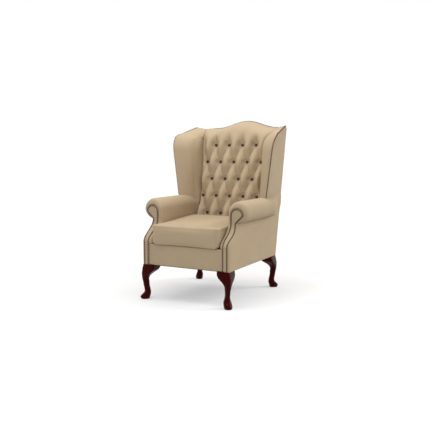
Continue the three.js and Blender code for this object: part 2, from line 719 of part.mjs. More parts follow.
// The inside arm under the roll, with a rounded front edge. Behind the cushion it fills in to the inside back.
function insideArm() {
  const heights = [cushionBottom, ...sweepHeights, rollBottom, rollHeight];
  const rings = heights.map((z) => {
    const front = armFrontAt(z);
    const seatBack = seamDepthAt(z);
    const nose = steps(4).map((share) => {
      const angle = (share * Math.PI) / 2;
      const x = THREE.MathUtils.lerp(facingInner - seam, seatHalfWidth, Math.sin(angle));
      return at(x, front + rollLip + wallNose * (1 - Math.cos(angle)), z);
    });
    const behind = backAt(z) - coverThickness;
    return [
      at(facingInner - seam, front + facingThickness + seam, z),
      ...nose,
      at(seatHalfWidth, seatBack - rollLip, z),
      at(seamAt(z) + seam, seatBack + cushionBackGap, z),
      at(seamAt(z) + seam, behind, z),
      at(postInner - seam, behind, z),
      at(postInner - seam, front + facingThickness + seam, z),
    ];
  });
  return skin(rings, ["x", "y"]);
}

function armPad() {
  const form = join(armRoll(), insideArm());
  return cut(form, armPost(seam), armRail(seam), wingBoard(seam), armFacing(seam), frameSpace(), behindFrame());
}

// Cover on the outside of an arm, turned in at the front beside the facing.
function outsideArm() {
  const top = rollBottom - seam;
  const heights = [bodyBottom, ...sweepHeights, top];
  const fore = heights.map((z) => [armFrontAt(z) + coverSetback, z]);
  const backEnd = [[backAt(top) - coverAndSeam, top], [backAt(bodyBottom) - coverAndSeam, bodyBottom]];
  const panel = sideProfile([...fore, ...backEnd], [bodyHalf - coverThickness, bodyHalf]);
  const edge = fore.map(([y, z]) => [y + coverReturn, z]).reverse();
  const turned = sideProfile([...fore, ...edge], [facingOuter + seam, bodyHalf - coverThickness / 2]);
  return join(panel, turned);
}

// Wings

function outsideWing() {
  const rings = wingHeights.map((z) => {
    const [front, back] = [wingFrontAt(z), backAt(z) - coverAndSeam];
    const [outFront, outBack] = [wingOutsideAt(front, z), wingOutsideAt(back, z)];
    return [
      at(outFront, front, z),
      at(outBack, back, z),
      at(outBack - coverThickness, back, z),
      at(outFront - coverThickness, front, z),
    ];
  });
  return cut(skin(rings, ["x", "y"]), armRoll(seam));
}

// Padding of a wing: the roll round its front edge and the inside surface, back to the frame.
function wingPad() {
  const low = rollHeight + seam;
  const heights = [low, ...wingHeights.filter((z) => z > low)];
  const rings = heights.map((z) => {
    const front = wingFrontAt(z);
    const spread = wingSpreadAt(z);
    const rollEnd = front + wingRollBack;
    const outer = spread + wingRollProud;
    const inner = wingInsideAt(rollEnd, z);
    const roll = steps(7).map((share) => {
      const angle = Math.PI * share;
      const inwards = (1 - Math.cos(angle)) / 2;
      const x = THREE.MathUtils.lerp(outer, inner, inwards);
      return at(x, front - seam - wingRollDepth * Math.sin(angle) + wingRollBack * inwards, z);
    });
    const lining = steps(4).slice(1).map((share) => {
      const seamDepth = Math.max(seamDepthAt(z), rollEnd + wingRollDepth);
      const y = THREE.MathUtils.lerp(rollEnd, seamDepth, share);
      const padded = wingInsideAt(y, z) - wingCrown * Math.sin(Math.PI * share);
      return at(Math.max(padded, seamAt(z) + seam), y, z);
    });
    const back = backAt(z) - coverAndSeam;
    return [
      ...roll,
      ...lining,
      at(seamAt(z) + seam, back, z),
      at(wingOutsideAt(back, z) - coverAndSeam, back, z),
      at(spread - coverAndSeam, front - seam, z),
    ];
  });
  return cut(skin(rings, ["x", "y"]), wingBoard(seam), armRoll(seam), armRail(seam), frameSpace());
}

// Inside back

// How far the padding stands in front of the button plane: pits at the buttons, pleats between them along the
// diagonals, and a crown in each diamond.
function tuftAt(x, z) {
  const across = x / buttonColumnPitch;
  const down = Math.min(z - topButtonHeight, 0) / (2 * buttonRowPitch);
  const first = Math.abs(Math.cos(Math.PI * (across + down)));
  const second = Math.abs(Math.cos(Math.PI * (across - down)));
  const pleats = pleatRise * Math.max(first, second);
  const tuft = pleats + (tuftDepth - pleatRise) * (first * second) ** tuftRound;
  const above = THREE.MathUtils.smoothstep(z, topButtonHeight, topButtonHeight + pleatFade);
  const below = 1 - THREE.MathUtils.smoothstep(z, flatBelow, lastRowHeight);
  const filled = THREE.MathUtils.lerp(tuft, tuftDepth, Math.max(above, below));
  const side = THREE.MathUtils.smoothstep(Math.abs(x), seamAt(z) - sideFade, seamAt(z));
  return THREE.MathUtils.lerp(filled, sideSeamRise, z > flatBelow ? side : 0);
}

// The buttoned pad of the inside back, with a thick roll over the crest.
function insideBackPad() {
  const lattice = between(lastRowHeight, topButtonHeight, 4 * (buttonRows - 1));
  const columns = between((1 - longRow) / 2, (longRow - 1) / 2, 4 * (longRow - 1));
  const edgeShares = [0.5, 1];
  const placesAt = (z) => {
    const inner = columns.map((column) => column * buttonColumnPitch);
    const last = inner[inner.length - 1];
    const outer = edgeShares.map((share) => THREE.MathUtils.lerp(last, seamAt(z), share));
    return [...outer.map((x) => -x).reverse(), ...inner, ...outer];
  };
  const frontAt = (x, z) => at(x, buttonPlaneAt(Math.max(z, flatBelow)) - tuftAt(x, z), z);
  const level = (z) => placesAt(z).map((x) => frontAt(x, z));
  const rollStartAt = (x) => crestAt(x) - crestRollHeight;
  const rising = steps(3).slice(1).map((share) => {
    const zAt = (x) => THREE.MathUtils.lerp(topButtonHeight, rollStartAt(x), share);
    return placesAt(zAt(seatHalfWidth)).map((x) => frontAt(x, zAt(x)));
  });
  const roll = [...steps(4).slice(1), 2].map((share) => {
    const angle = (Math.min(share, 1) * Math.PI) / 2;
    return placesAt(shoulderHeight).map((x) => {
      const start = frontAt(x, rollStartAt(x));
      const end = share > 1 ? backAt(crestHeight) + overrun : backAt(crestAt(x)) - coverAndSeam;
      const y = THREE.MathUtils.lerp(start.y, end, 1 - Math.cos(angle));
      return at(x, y, start.z + crestRollHeight * Math.sin(angle));
    });
  });
  const rows = [cushionBottom, flatBelow, ...lattice].map(level);
  const behind = backAt(crestHeight) + 2 * overrun;
  const rings = [...rows, ...rising, ...roll].map((row) => {
    const [left, right] = [row[0], row[row.length - 1]];
    return [...row, at(right.x, behind, right.z), at(left.x, behind, left.z)];
  });
  const pad = skin(rings, ["x", "y"], "y");
  const pits = buttonPlaces().map(([x, z]) => {
    const radius = (buttonRadius + seam) / Math.cos(Math.PI / pitFacets);
    const pit = new THREE.CylinderGeometry(radius, radius, 2 * tuftDepth, pitFacets);
    return placeOnButtonPlane(pit.translate(0, tuftDepth, 0), x, z);
  });
  return cut(pad, frameSpace(), behindFrame(), ...pits);
}

// Where the buttons sit: short and long rows in turn, half a pitch apart, the top row a short one.
function buttonPlaces() {
  return Array.from({ length: buttonRows }, (_, row) => {
    const z = topButtonHeight - row * buttonRowPitch;
    const count = longRow - 1 + (row % 2);
    return Array.from({ length: count }, (_, i) => [(i - (count - 1) / 2) * buttonColumnPitch, z, row + 1, i + 1]);
  }).flat();
}

// Turns a piece that stands up along +Y so that it stands out of the button plane at a place.
function placeOnButtonPlane(geometry, x, z) {
  geometry.rotateX(Math.PI - THREE.MathUtils.degToRad(buttonLeanDeg));
  return geometry.translate(x, buttonPlaneAt(z), z);
}

function button(x, z) {
  const shoulder = new THREE.EllipseCurve(0, buttonRim, buttonRadius, buttonDome, 0, Math.PI / 2);
  const profile = [new THREE.Vector2(0, 0), new THREE.Vector2(buttonRadius, 0), ...shoulder.getPoints(2)];
  profile[profile.length - 1].setX(0);
  return placeOnButtonPlane(new THREE.LatheGeometry(profile, buttonFacets).translate(0, seam, 0), x, z);
}

// Outside back, up to the crest.
function outsideBack() {
  const crest = crestPlaces.map((x) => [x, crestAt(x)]);
  const low = [[-bodyHalf, bodyBottom], [bodyHalf, bodyBottom]];
  const outline = [...low, [bodyHalf, shoulderHeight], ...crest.reverse(), [-bodyHalf, shoulderHeight]];
  return raked(frontProfile(outline, [-coverThickness, 0]));
}

// Materials

const material = (color, roughness, metalness = 0) => {
  return new THREE.MeshStandardMaterial({ color, roughness, metalness, flatShading: true });
};
const leather = material("#bba98a", 0.5);
const mahogany = material("#3a0d0a", 0.2);
const beech = material("#c9a876", 0.7);
const steel = material("#8d8f92", 0.35, 1);
const bronze = material("#4c362e", 0.3, 0.6);
const blackCloth = material("#26241f", 0.95);
const canvas = material("#a89a80", 0.9);

// The chair

const chair = new THREE.Group();

function add(name, geometry, finish) {
  const mesh = new THREE.Mesh(geometry, finish);
  mesh.name = name;
  chair.add(mesh);
}

function addPair(name, geometry, finish) {
  add(`${name}_left`, geometry, finish);
  add(`${name}_right`, reflected(geometry, true), finish);
}

add("seat_cushion", seatCushion(), leather);
add("seat_platform", seatPlatform(), canvas);
add("front_border", frontBorder(), leather);
add("inside_back_pad", insideBackPad(), leather);
addPair("wing_pad", wingPad(), leather);
addPair("arm_pad", armPad(), leather);
addPair("arm_facing", armFacing(), leather);
addPair("outside_arm", outsideArm(), leather);
addPair("outside_wing", outsideWing(), leather);
add("outside_back", outsideBack(), leather);
add("dust_cover", dustCover(), blackCloth);

const leg = cabrioleLeg();
addPair("leg_front", leg, mahogany);
addPair("leg_rear", reflected(leg, false, true), mahogany);

add("seat_rail_front", frontRail(), beech);
add("seat_rail_rear", rakedBlock([seam - postInsideX, postInsideX - seam], railThickness, [bodyBottom, railTop]), beech);
addPair("seat_rail", sideRail(), beech);
const postHeights = [bodyBottom, shoulderHeight - topRailPadding];
addPair("back_post", rakedBlock([postInsideX, frameHalf], backPostDepth, postHeights), beech);
add("top_rail", topRail(), beech);
const lowerRailHeights = [cushionBottom, cushionBottom + lowerBackRailHeight];
add("lower_back_rail", rakedBlock([seam - postInsideX, postInsideX - seam], backPostDepth, lowerRailHeights), beech);
addPair("arm_post", armPost(), beech);
addPair("arm_rail", armRail(), beech);
addPair("wing_board", wingBoard(), beech);

for (let i = 0; i < springCount; i++) add(`seat_spring_${i + 1}`, seatSpring(i), steel);
for (const [x, z, row, column] of buttonPlaces()) add(`button_r${row}_c${column}`, button(x, z), bronze);

// The origin lies on the floor, under the middle of the chair.
const middle = new THREE.Box3().setFromObject(chair).getCenter(new THREE.Vector3());
chair.position.set(-middle.x, -middle.y, 0);

export default chair;
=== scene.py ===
# %% [markdown]
# # A wingback armchair in leather
# This notebook dresses a high-back wing chair: a deep-buttoned back, scroll arms, a loose cushion, nail-
# head trim and polished cabriole legs. The construction, with its true sizes, comes in as a frame, and each
# cell builds one part of the upholstery round it. All lengths are metres, +Z is up, and the chair faces -Y.

import math

import bmesh
import bpy
import numpy as np
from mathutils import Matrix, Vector


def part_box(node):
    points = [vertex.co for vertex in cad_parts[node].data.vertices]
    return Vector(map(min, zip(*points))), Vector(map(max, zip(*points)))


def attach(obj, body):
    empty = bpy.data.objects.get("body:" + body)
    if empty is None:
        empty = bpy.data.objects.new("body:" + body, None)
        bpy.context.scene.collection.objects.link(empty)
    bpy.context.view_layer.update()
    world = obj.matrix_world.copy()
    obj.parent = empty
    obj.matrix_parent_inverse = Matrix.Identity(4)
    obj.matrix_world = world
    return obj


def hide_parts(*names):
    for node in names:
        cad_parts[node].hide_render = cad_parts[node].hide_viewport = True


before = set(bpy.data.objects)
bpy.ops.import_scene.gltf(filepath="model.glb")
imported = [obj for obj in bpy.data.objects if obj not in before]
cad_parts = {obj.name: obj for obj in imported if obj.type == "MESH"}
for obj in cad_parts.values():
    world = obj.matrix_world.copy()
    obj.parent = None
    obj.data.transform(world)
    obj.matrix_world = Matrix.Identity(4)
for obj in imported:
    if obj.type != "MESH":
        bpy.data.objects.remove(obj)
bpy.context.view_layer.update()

# %% [markdown]
# ## The lines of the chair
# An upholsterer marks out the frame before cutting leather. The same lines are kept here as small
# functions: the raked back, the swept front of the arms, the edge of the wings and the plane in which the
# buttons lie. Most of their sizes are read off the frame, so the leather always fits what is under it.

# %% Helpers for numbers
GAP = 0.0004  # between pieces that touch


def lerp(a, b, share):
    return a + (b - a) * share


def ramp(value, start, end):
    return np.clip((value - start) / (end - start), 0, 1)


def smooth(value, start, end):
    share = ramp(value, start, end)
    return share * share * (3 - 2 * share)


def bezier(first, second, third, last, share):
    rest = 1 - share
    return rest**3 * first + 3 * rest**2 * share * second + 3 * rest * share**2 * third + share**3 * last


def points(*axes):
    """Points, or a grid of them, from their coordinates. A single value serves all of them."""
    return np.stack(np.broadcast_arrays(*axes), axis=-1)


def unit(vectors):
    return vectors / np.linalg.norm(vectors, axis=-1, keepdims=True)


def spaced(start, end, step):
    """Evenly spaced values from start to end, about a step apart."""
    return np.linspace(start, end, max(2, 1 + int(round(abs(end - start) / step))))


def finely_edged(start, end, step, edge=0.006):
    """Values from start to end that are closer together near both ends, to round the edges there."""
    corner = edge * np.sin(np.linspace(0, math.pi / 2, 5)) ** 1.5
    inner = spaced(start + edge, end - edge, step)[1:-1]
    return np.concatenate([start + corner, inner, end - corner[::-1]])


def edge_inset(radius, height):
    """How far a rounded edge stands in, at a height from its start."""
    return radius * (1 - np.sqrt(1 - (1 - np.clip(height / radius, 0, 1)) ** 2))


# %% Sizes read off the frame
back_low, back_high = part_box("outside_back")
facing_low, facing_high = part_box("arm_facing_left")
cushion_low, cushion_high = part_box("seat_cushion")

COVER = 0.006  # thickness of a cover on its backing
FRONT = facing_low.y  # the chair's front face
BODY_HALF = back_high.x
BODY_BOTTOM = back_low.z
CREST_TOP = back_high.z
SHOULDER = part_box("wing_pad_left")[1].z
ARM_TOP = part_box("arm_pad_left")[1].z
CUSHION_BOTTOM = cushion_low.z
CUSHION_TOP = CUSHION_BOTTOM + 0.115
RAKE = (back_high.y - back_low.y - COVER) / (back_high.z - back_low.z)
print(f"crest {CREST_TOP:.3f}, shoulder {SHOULDER:.3f}, arms {ARM_TOP:.3f}, half width {BODY_HALF:.3f}")


def back_at(z):
    """Depth of the outside back at a height."""
    return back_low.y + COVER + (z - BODY_BOTTOM) * RAKE


def back_of(z):
    """Depth at which the padding meets the outside back's cover."""
    return back_at(z) - COVER - GAP


# %% The arm's lines
SEAT_HALF = BODY_HALF - 0.064  # inner face of an arm
FACING_THICK = 0.010
ROLL_RADIUS = (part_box("arm_pad_left")[1].x - SEAT_HALF) / 2
ROLL_X = SEAT_HALF + ROLL_RADIUS
ROLL_Z = ARM_TOP - ROLL_RADIUS
ROLL_BOTTOM = ROLL_Z - ROLL_RADIUS
FACING_IN = facing_low.x
FACING_OUT = FACING_IN + 0.034
FACING_SWELL = 0.008
SCROLL_RADIUS = (facing_high.x - facing_low.x) / 2
SCROLL_X = FACING_IN + SCROLL_RADIUS
SCROLL_Z = facing_high.z - SCROLL_RADIUS
SCROLL_TOP = SCROLL_Z + SCROLL_RADIUS
ARM_SETBACK = facing_high.y - FACING_THICK - FRONT
SWEEP_START = CUSHION_BOTTOM + 0.029
SWEEP_END = ROLL_BOTTOM - 0.006
SWEEP_POWER = 1.15
SWEEP_SOFT = 0.018  # rounding where the sweep starts and ends


def arm_front_at(z):
    """Depth of the arm's swept front at a height, averaged over a short height to round off its ends."""
    height = np.asarray(z, float)[..., None] + SWEEP_SOFT * np.linspace(-1, 1, 9)
    share = ramp(height, SWEEP_START, SWEEP_END)
    return FRONT + (ARM_SETBACK * np.sin(share * math.pi / 2) ** SWEEP_POWER).mean(axis=-1)


def facing_out_at(z):
    """Outer edge of the facing under its scroll, which swells a little where it sweeps back."""
    middle = (SWEEP_START + SWEEP_END) / 2
    swell = smooth(z, SWEEP_START - 0.02, middle) * (1 - smooth(z, middle, ROLL_BOTTOM + 0.005))
    return FACING_OUT + FACING_SWELL * swell


# %% The wing's lines
WING_FRONT = back_at(ARM_TOP) - 0.2914
WING_WIDEST = SHOULDER - 0.064
SPREAD_LOW = BODY_HALF + 0.024  # the nailed edge from the centre line, at the arms
SPREAD_WIDE = BODY_HALF + 0.0715
SPREAD_EAR = BODY_HALF + 0.038
EAR_Y = back_at(SHOULDER) - 0.1231
ROUND_START = SHOULDER - 0.154
ROUND_HEIGHT = 0.098
ROUND_DEPTH = 0.095
CORNER_DROP = 0.015  # rear top corner of a wing under its ear


def wing_spread_at(z):
    """Distance of the wing's nailed edge from the centre line at a height."""
    below = lerp(SPREAD_LOW, SPREAD_WIDE, (z - ARM_TOP) / (WING_WIDEST - ARM_TOP))
    above = lerp(SPREAD_WIDE, SPREAD_EAR, ramp(z, WING_WIDEST, SHOULDER))
    return np.where(z <= WING_WIDEST, below, above)


# %% The inside back's lines
SEAM_LOW = 0.074  # side seam inside the body's width, up to the arms
SEAM_HIGH = 0.038  # and where the crest's roll starts
CREST_ROLL = 0.074
CREST_HALF_SPAN = 0.222
BUTTON_LEAN = math.radians(16.1)
BUTTON_SETBACK = 0.153
TOP_ROW = CREST_TOP - 0.164
LAST_ROW = CUSHION_TOP + 0.032
FLAT_BELOW = CUSHION_TOP + 0.010
BUTTON_ROWS = 5
LONG_ROW = 5
ROW_PITCH = (TOP_ROW - LAST_ROW) / (BUTTON_ROWS - 1)
COLUMN_PITCH = 2 * (BODY_HALF - SEAM_LOW - 0.020) / (LONG_ROW - 1)
TUFT = 0.041  # crown of a diamond in front of its buttons
PLEAT = 0.012  # middle of a pleat in front of its buttons
SEAM_RISE_LOW = 0.001  # side seam in front of the buttons, at the arms
SEAM_RISE_HIGH = 0.007  # and at the crest
RELIEF_END = 0.170
CORNER_SEAM = 0.007  # where the seam ends, inside the body's rear corner


def crest_at(x):
    """Height of the crest line over a place across the back."""
    share = np.minimum(np.abs(x) / CREST_HALF_SPAN, 1)
    return SHOULDER + (CREST_TOP - SHOULDER) * (1 + np.cos(math.pi * share)) / 2


def seam_at(z):
    """Half width of the inside back at a height."""
    return BODY_HALF - lerp(SEAM_LOW, SEAM_HIGH, ramp(z, ARM_TOP, SHOULDER - CREST_ROLL))


def seam_rise_at(z):
    """How far the side seam stands in front of the buttons' plane."""
    return lerp(SEAM_RISE_LOW, SEAM_RISE_HIGH, ramp(z, ARM_TOP, SHOULDER - CREST_ROLL))


def button_plane_at(z):
    return back_at(TOP_ROW) - BUTTON_SETBACK + (z - TOP_ROW) * math.tan(BUTTON_LEAN)


def back_top_at(x):
    """Height of the outside back's upper edge, which drops a little to the rear corners of the wings."""
    return crest_at(x) - CORNER_DROP * smooth(np.abs(x), seam_at(SHOULDER), BODY_HALF)


def relief_left(above):
    """How much of the tufting is left at a distance above the top row."""
    share = ramp(above, 0, RELIEF_END)
    return (1 - share) ** 2 * (1 + 2 * share)


def seam_over(share):
    """Half width of the inside back over the crest's bend, where the seam runs out to the rear corner."""
    return lerp(seam_at(SHOULDER), BODY_HALF - CORNER_SEAM, smooth(share, 0.1, 1))


print(f"buttons {COLUMN_PITCH * 1000:.1f} mm apart in rows {ROW_PITCH * 1000:.1f} mm apart")

# %% [markdown]
# ## Meshes from rings and sheets
# Most upholstered forms here are lofts: closed outlines, one after the other, with a skin between them.
# Evenly spaced rings matter more than many of them. A cover is an outer and an inner sheet, laid out as two
# grids of the same size, with a rim all round. On the buttoned back the faces are cut into triangles with
# edges along both slants, so that each pleat gets a clean crease.

# %% Helpers for meshes


def placed(name, data):
    """A new object in the scene."""
    thing = bpy.data.objects.new(name, data)
    bpy.context.collection.objects.link(thing)
    return thing


def make_mesh(name, places, faces, edges=()):
    mesh = bpy.data.meshes.new(name)
    mesh.from_pydata([tuple(map(float, place)) for place in places], edges, faces)
    mesh.update()
    return placed(name, mesh)


def tidy_mesh(piece):
    """Merges doubles, turns the faces outwards and shades them smooth."""
    form = bmesh.new()
    form.from_mesh(piece.data)
    bmesh.ops.remove_doubles(form, verts=form.verts, dist=0.00001)
    bmesh.ops.recalc_face_normals(form, faces=form.faces)
    form.to_mesh(piece.data)
    form.free()
    piece.data.polygons.foreach_set("use_smooth", [True] * len(piece.data.polygons))
    piece.data.update()
    return piece


def sharpened(piece, degrees):
    """Keeps the edges sharp where the faces turn by more than this angle."""
    piece.data.set_sharp_from_angle(angle=math.radians(degrees))
    return piece


def loft(name, rings):
    """A closed skin over rings of equal length, with one face over each end."""
    rings = np.asarray(rings, float)
    index = np.arange(rings.shape[0] * rings.shape[1]).reshape(rings.shape[:2])
    after = np.roll(index, -1, axis=1)
    faces = points(index[:-1], after[:-1], after[1:], index[1:]).reshape(-1, 4).tolist()
    faces += [index[0, ::-1].tolist(), index[-1].tolist()]
    return tidy_mesh(make_mesh(name, rings.reshape(-1, 3), faces))


def closed_sheet(name, outer, inner, slanted=False):
    """A closed skin from two grids of points, each an array of rows, columns and three coordinates."""
    rows, columns, _ = outer.shape
    lift = rows * columns
    index = np.arange(lift).reshape(rows, columns)
    faces = []
    for r, c in np.ndindex(rows - 1, columns - 1):
        a, b, d, e = map(int, (index[r, c], index[r, c + 1], index[r + 1, c + 1], index[r + 1, c]))
        if not slanted:
            faces.append((a, b, d, e))
        elif r % 2:
            faces += [(a, b, d), (a, d, e)]
        else:
            faces += [(a, b, e), (b, d, e)]
        faces.append((lift + e, lift + d, lift + b, lift + a))
    rim = np.concatenate([index[0], index[1:, -1], index[-1, -2::-1], index[-2:0:-1, 0]])
    after = np.roll(rim, -1)
    faces += points(after, rim, lift + rim, lift + after).tolist()
    return tidy_mesh(make_mesh(name, np.concatenate([outer.reshape(-1, 3), inner.reshape(-1, 3)]), faces))


def positions(piece):
    places = np.empty(len(piece.data.vertices) * 3)
    piece.data.vertices.foreach_get("co", places)
    return places.reshape(-1, 3)


def set_positions(piece, places):
    piece.data.vertices.foreach_set("co", np.asarray(places, float).ravel())
    piece.data.update()


def reflected(piece, name, axis=0, middle=0.0):
    """A mirror image of a piece, for the other side of the chair or the other end of it."""
    copy = placed(name, piece.data.copy())
    copy.data.name = name
    places = positions(copy)
    places[:, axis] = 2 * middle - places[:, axis]
    set_positions(copy, places)
    return tidy_mesh(copy)


# %% [markdown]
# ## Node trees that read like formulas
# Finishes, tufts, buttons and nails are all node trees. A wire stands for a value in such a tree, and
# arithmetic with wires adds the nodes that do it.

# %% Helpers for node trees
SOCKET_KINDS = {"Vector": "Vector", "Along": "Vector", "Geometry": "Geometry", "Finish": "Material"}


def feed(tree, node, inputs):
    """Links wires to a node's inputs and sets its plain values."""
    for key, value in inputs.items():
        if isinstance(value, Wire):
            tree.links.new(value.socket, node.inputs[key])
        else:
            node.inputs[key].default_value = value


def add(tree, kind, inputs=None, output=0, **settings):
    """Adds a node and gives the wire from one of its outputs."""
    node = tree.nodes.new(kind)
    for key, value in settings.items():
        setattr(node, key, value)
    feed(tree, node, inputs or {})
    return Wire(tree, node.outputs[output])


def wires(tree, node):
    return {socket.name: Wire(tree, socket) for socket in node.outputs}


def node_group(kind, name, inputs, outputs):
    """An empty group, the wires from its named inputs, and the node to which its outputs go."""
    group = bpy.data.node_groups.new(name, kind)
    for way, titles in (("INPUT", inputs), ("OUTPUT", outputs)):
        for title in titles:
            kind = "NodeSocket" + SOCKET_KINDS.get(title, "Float")
            group.interface.new_socket(title, in_out=way, socket_type=kind)
    given = wires(group, group.nodes.new("NodeGroupInput"))
    return group, given, group.nodes.new("NodeGroupOutput")


class Wire:
    """A value in a node tree."""

    def __init__(self, tree, socket):
        self.tree, self.socket = tree, socket

    def maths(self, operation, other=0.0, clamp=False):
        inputs = {0: self, 1: other}
        return add(self.tree, "ShaderNodeMath", inputs, operation=operation, use_clamp=clamp)

    def __add__(self, other):
        return self.maths("ADD", other)

    def __sub__(self, other):
        return self.maths("SUBTRACT", other)

    def __rsub__(self, other):
        return add(self.tree, "ShaderNodeMath", {0: other, 1: self}, operation="SUBTRACT")

    def __mul__(self, other):
        return self.maths("MULTIPLY", other)

    def __truediv__(self, other):
        return self.maths("DIVIDE", other)

    def __pow__(self, other):
        return self.maths("POWER", other)

    def __rpow__(self, other):
        return add(self.tree, "ShaderNodeMath", {0: other, 1: self}, operation="POWER")

    def between(self, low, high, to_low=0.0, to_high=1.0, kind="LINEAR"):
        """The value mapped from one range to another, without leaving the second."""
        inputs = {"Value": self, "From Min": low, "From Max": high, "To Min": to_low, "To Max": to_high}
        return add(self.tree, "ShaderNodeMapRange", inputs, "Result", interpolation_type=kind)

    def blend(self, a, b):
        """The colour at this share of the way from one to another."""
        return add(self.tree, "ShaderNodeMix", {0: self, 6: a, 7: b}, 2, data_type="RGBA")

    def noise(self, scale, **more):
        return add(self.tree, "ShaderNodeTexNoise", {"Vector": self, "Scale": scale, **more}, "Fac")

    def bump(self, distance):
        inputs = {"Height": self, "Distance": distance, "Strength": 1.0}
        return add(self.tree, "ShaderNodeBump", inputs, "Normal")


def use_group(wire, group, **inputs):
    """The outputs of a group that is fed with a place."""
    node = add(wire.tree, "ShaderNodeGroup", {"Vector": wire, **inputs}, node_tree=group).socket.node
    return wires(wire.tree, node)


def finish(name, inputs_at):
    """A material. The inputs of its shader are worked out from the wire of the object's coordinates."""
    material = bpy.data.materials.new(name)
    material.use_nodes = True
    tree = material.node_tree
    place = add(tree, "ShaderNodeTexCoord", output="Object")
    feed(tree, tree.nodes["Principled BSDF"], inputs_at(place))
    return material


# %% [markdown]
# ## Leather
# The leather is corrected-grain hide, semi-matt, in a pale tan. Its grain is a fine pebble of small cells
# with faint creases between them. Shade is painted into it: it is a little darker where it dips into
# pleats and seams and in the hollows of the pebble. It is a little paler where it is stretched over a
# crown. The grain, and the wear with its painted shade, are shader groups, so that every leather piece
# shares them with its own values. Both only put out values, and the shader itself stays in the material.

# %% Shader groups: the pebble of a hide, and its dips, where shade is painted, and its worn crowns


def pebble_group():
    group, given, end = node_group("ShaderNodeTree", "hide_pebble", ["Vector", "Cells"], ["Height"])
    vector, cells = given["Vector"], given["Cells"]
    warp = add(group, "ShaderNodeTexNoise", {"Vector": vector, "Scale": cells * 0.35}, "Color")
    bent = add(group, "ShaderNodeVectorMath", {0: warp, "Scale": 0.0012}, operation="SCALE")
    place = add(group, "ShaderNodeVectorMath", {0: vector, 1: bent}, operation="ADD")

    def from_edge(scale):
        inputs = {"Vector": place, "Scale": scale}
        return add(group, "ShaderNodeTexVoronoi", inputs, "Distance", feature="DISTANCE_TO_EDGE")

    rounded = from_edge(cells).between(0.0, 0.32)
    folded = from_edge(cells * 0.27).between(0.0, 0.12)
    height = rounded**0.6 * folded.between(0, 1, 0.6, 1.0) + vector.noise(cells * 2.2) * 0.12
    feed(group, end, {"Height": height})
    return group


def wear_and_shade_group():
    outputs = ["Dips", "Crowns", "Patches"]
    group, given, end = node_group("ShaderNodeTree", "shaded_dips_and_worn_crowns", ["Vector", "Patch"], outputs)
    vector, patch = given["Vector"], given["Patch"]
    bend = add(group, "ShaderNodeNewGeometry", output="Pointiness")
    clouds = vector.noise(patch, Detail=5.0) * 0.7 + vector.noise(patch * 9.0) * 0.3
    # Dips are concave places, where shade is painted darker; crowns are convex places, worn paler.
    dips, crowns = bend.between(0.49, 0.44), bend.between(0.51, 0.56)
    feed(group, end, {"Dips": dips, "Crowns": crowns, "Patches": clouds.between(0.35, 0.65)})
    return group


PEBBLE, WEAR_AND_SHADE = pebble_group(), wear_and_shade_group()

# %% The leather
HIDE = (0.470, 0.365, 0.240, 1)
# The colour of the painted shade in dips, button pits and the hollows of the grain.
HIDE_PAINTED_SHADE = (0.305, 0.226, 0.141, 1)
HIDE_CROWN = (0.535, 0.430, 0.296, 1)
HIDE_PATCH = (0.430, 0.331, 0.215, 1)


def leather(place):
    wear_and_shade = use_group(place, WEAR_AND_SHADE, Patch=9.0)
    height = use_group(place, PEBBLE, Cells=620.0)["Height"]
    colour = (wear_and_shade["Patches"] * 0.55).blend(HIDE, HIDE_PATCH)
    colour = (wear_and_shade["Crowns"] * 0.35).blend(colour, HIDE_CROWN)
    # Painted shade: darker in the dips, the pleats, seams and pits round the buttons.
    colour = (wear_and_shade["Dips"] * 0.75).blend(colour, HIDE_PAINTED_SHADE)
    # A little painted shade in the hollows of the pebble grain, in the same colour.
    colour = height.between(0.15, 0.6, 0.16, 0.0).blend(colour, HIDE_PAINTED_SHADE)
    rough = wear_and_shade["Patches"].between(0, 1, 0.60, 0.70)
    normal = height.bump(0.00022)
    return {"Base Color": colour, "Roughness": rough, "Specular IOR Level": 0.08, "Normal": normal}


LEATHER = finish("tan_leather", leather)
print("leather has", len(LEATHER.node_tree.nodes), "nodes")

# %% [markdown]
# ## Polished mahogany
# The legs are stained a dark red and lacquered to a gloss. The red shows most where the light comes through
# the lacquer, so the stain is nearly black in the pores and a deep red between them. The lacquer itself is
# tinted, so its reflections are dark red too where it faces the eye, and turn pale only where it is seen at
# a low angle.

# %% The wood finishes


def grain_group():
    """Streaks that run along one axis, with rings that wander."""
    outputs = ["Streaks", "Pores"]
    group, given, end = node_group("ShaderNodeTree", "wood_grain", ["Vector", "Along"], outputs)
    factors = {0: given["Vector"], 1: given["Along"]}
    place = add(group, "ShaderNodeVectorMath", factors, operation="MULTIPLY")
    rings = (place.noise(1.0, Detail=4.0, Distortion=0.6) * 34.0).maths("SINE")
    pores = place.noise(9.0, Detail=3.0).between(0.56, 0.68)
    feed(group, end, {"Streaks": rings.between(-1.0, 1.0), "Pores": pores})
    return group


GRAIN = grain_group()


def mahogany(place):
    grain = use_group(place, GRAIN, Along=(34.0, 34.0, 3.2))
    colour = grain["Streaks"].blend((0.017, 0.0009, 0.0007, 1), (0.034, 0.0019, 0.0014, 1))
    colour = (grain["Pores"] * 0.8).blend(colour, (0.005, 0.0006, 0.0006, 1))
    lacquer = {"Specular IOR Level": 0.20, "Specular Tint": (1.0, 0.16, 0.12, 1)}
    return {"Base Color": colour, "Roughness": grain["Pores"].between(0, 1, 0.13, 0.22), **lacquer}


def beech(place):
    grain = use_group(place, GRAIN, Along=(22.0, 22.0, 4.0))
    colour = grain["Streaks"].blend((0.50, 0.33, 0.17, 1), (0.60, 0.43, 0.25, 1))
    colour = (grain["Pores"] * 0.5).blend(colour, (0.33, 0.2, 0.1, 1))
    return {"Base Color": colour, "Roughness": 0.62, "Normal": (1.0 - grain["Pores"]).bump(0.0002)}


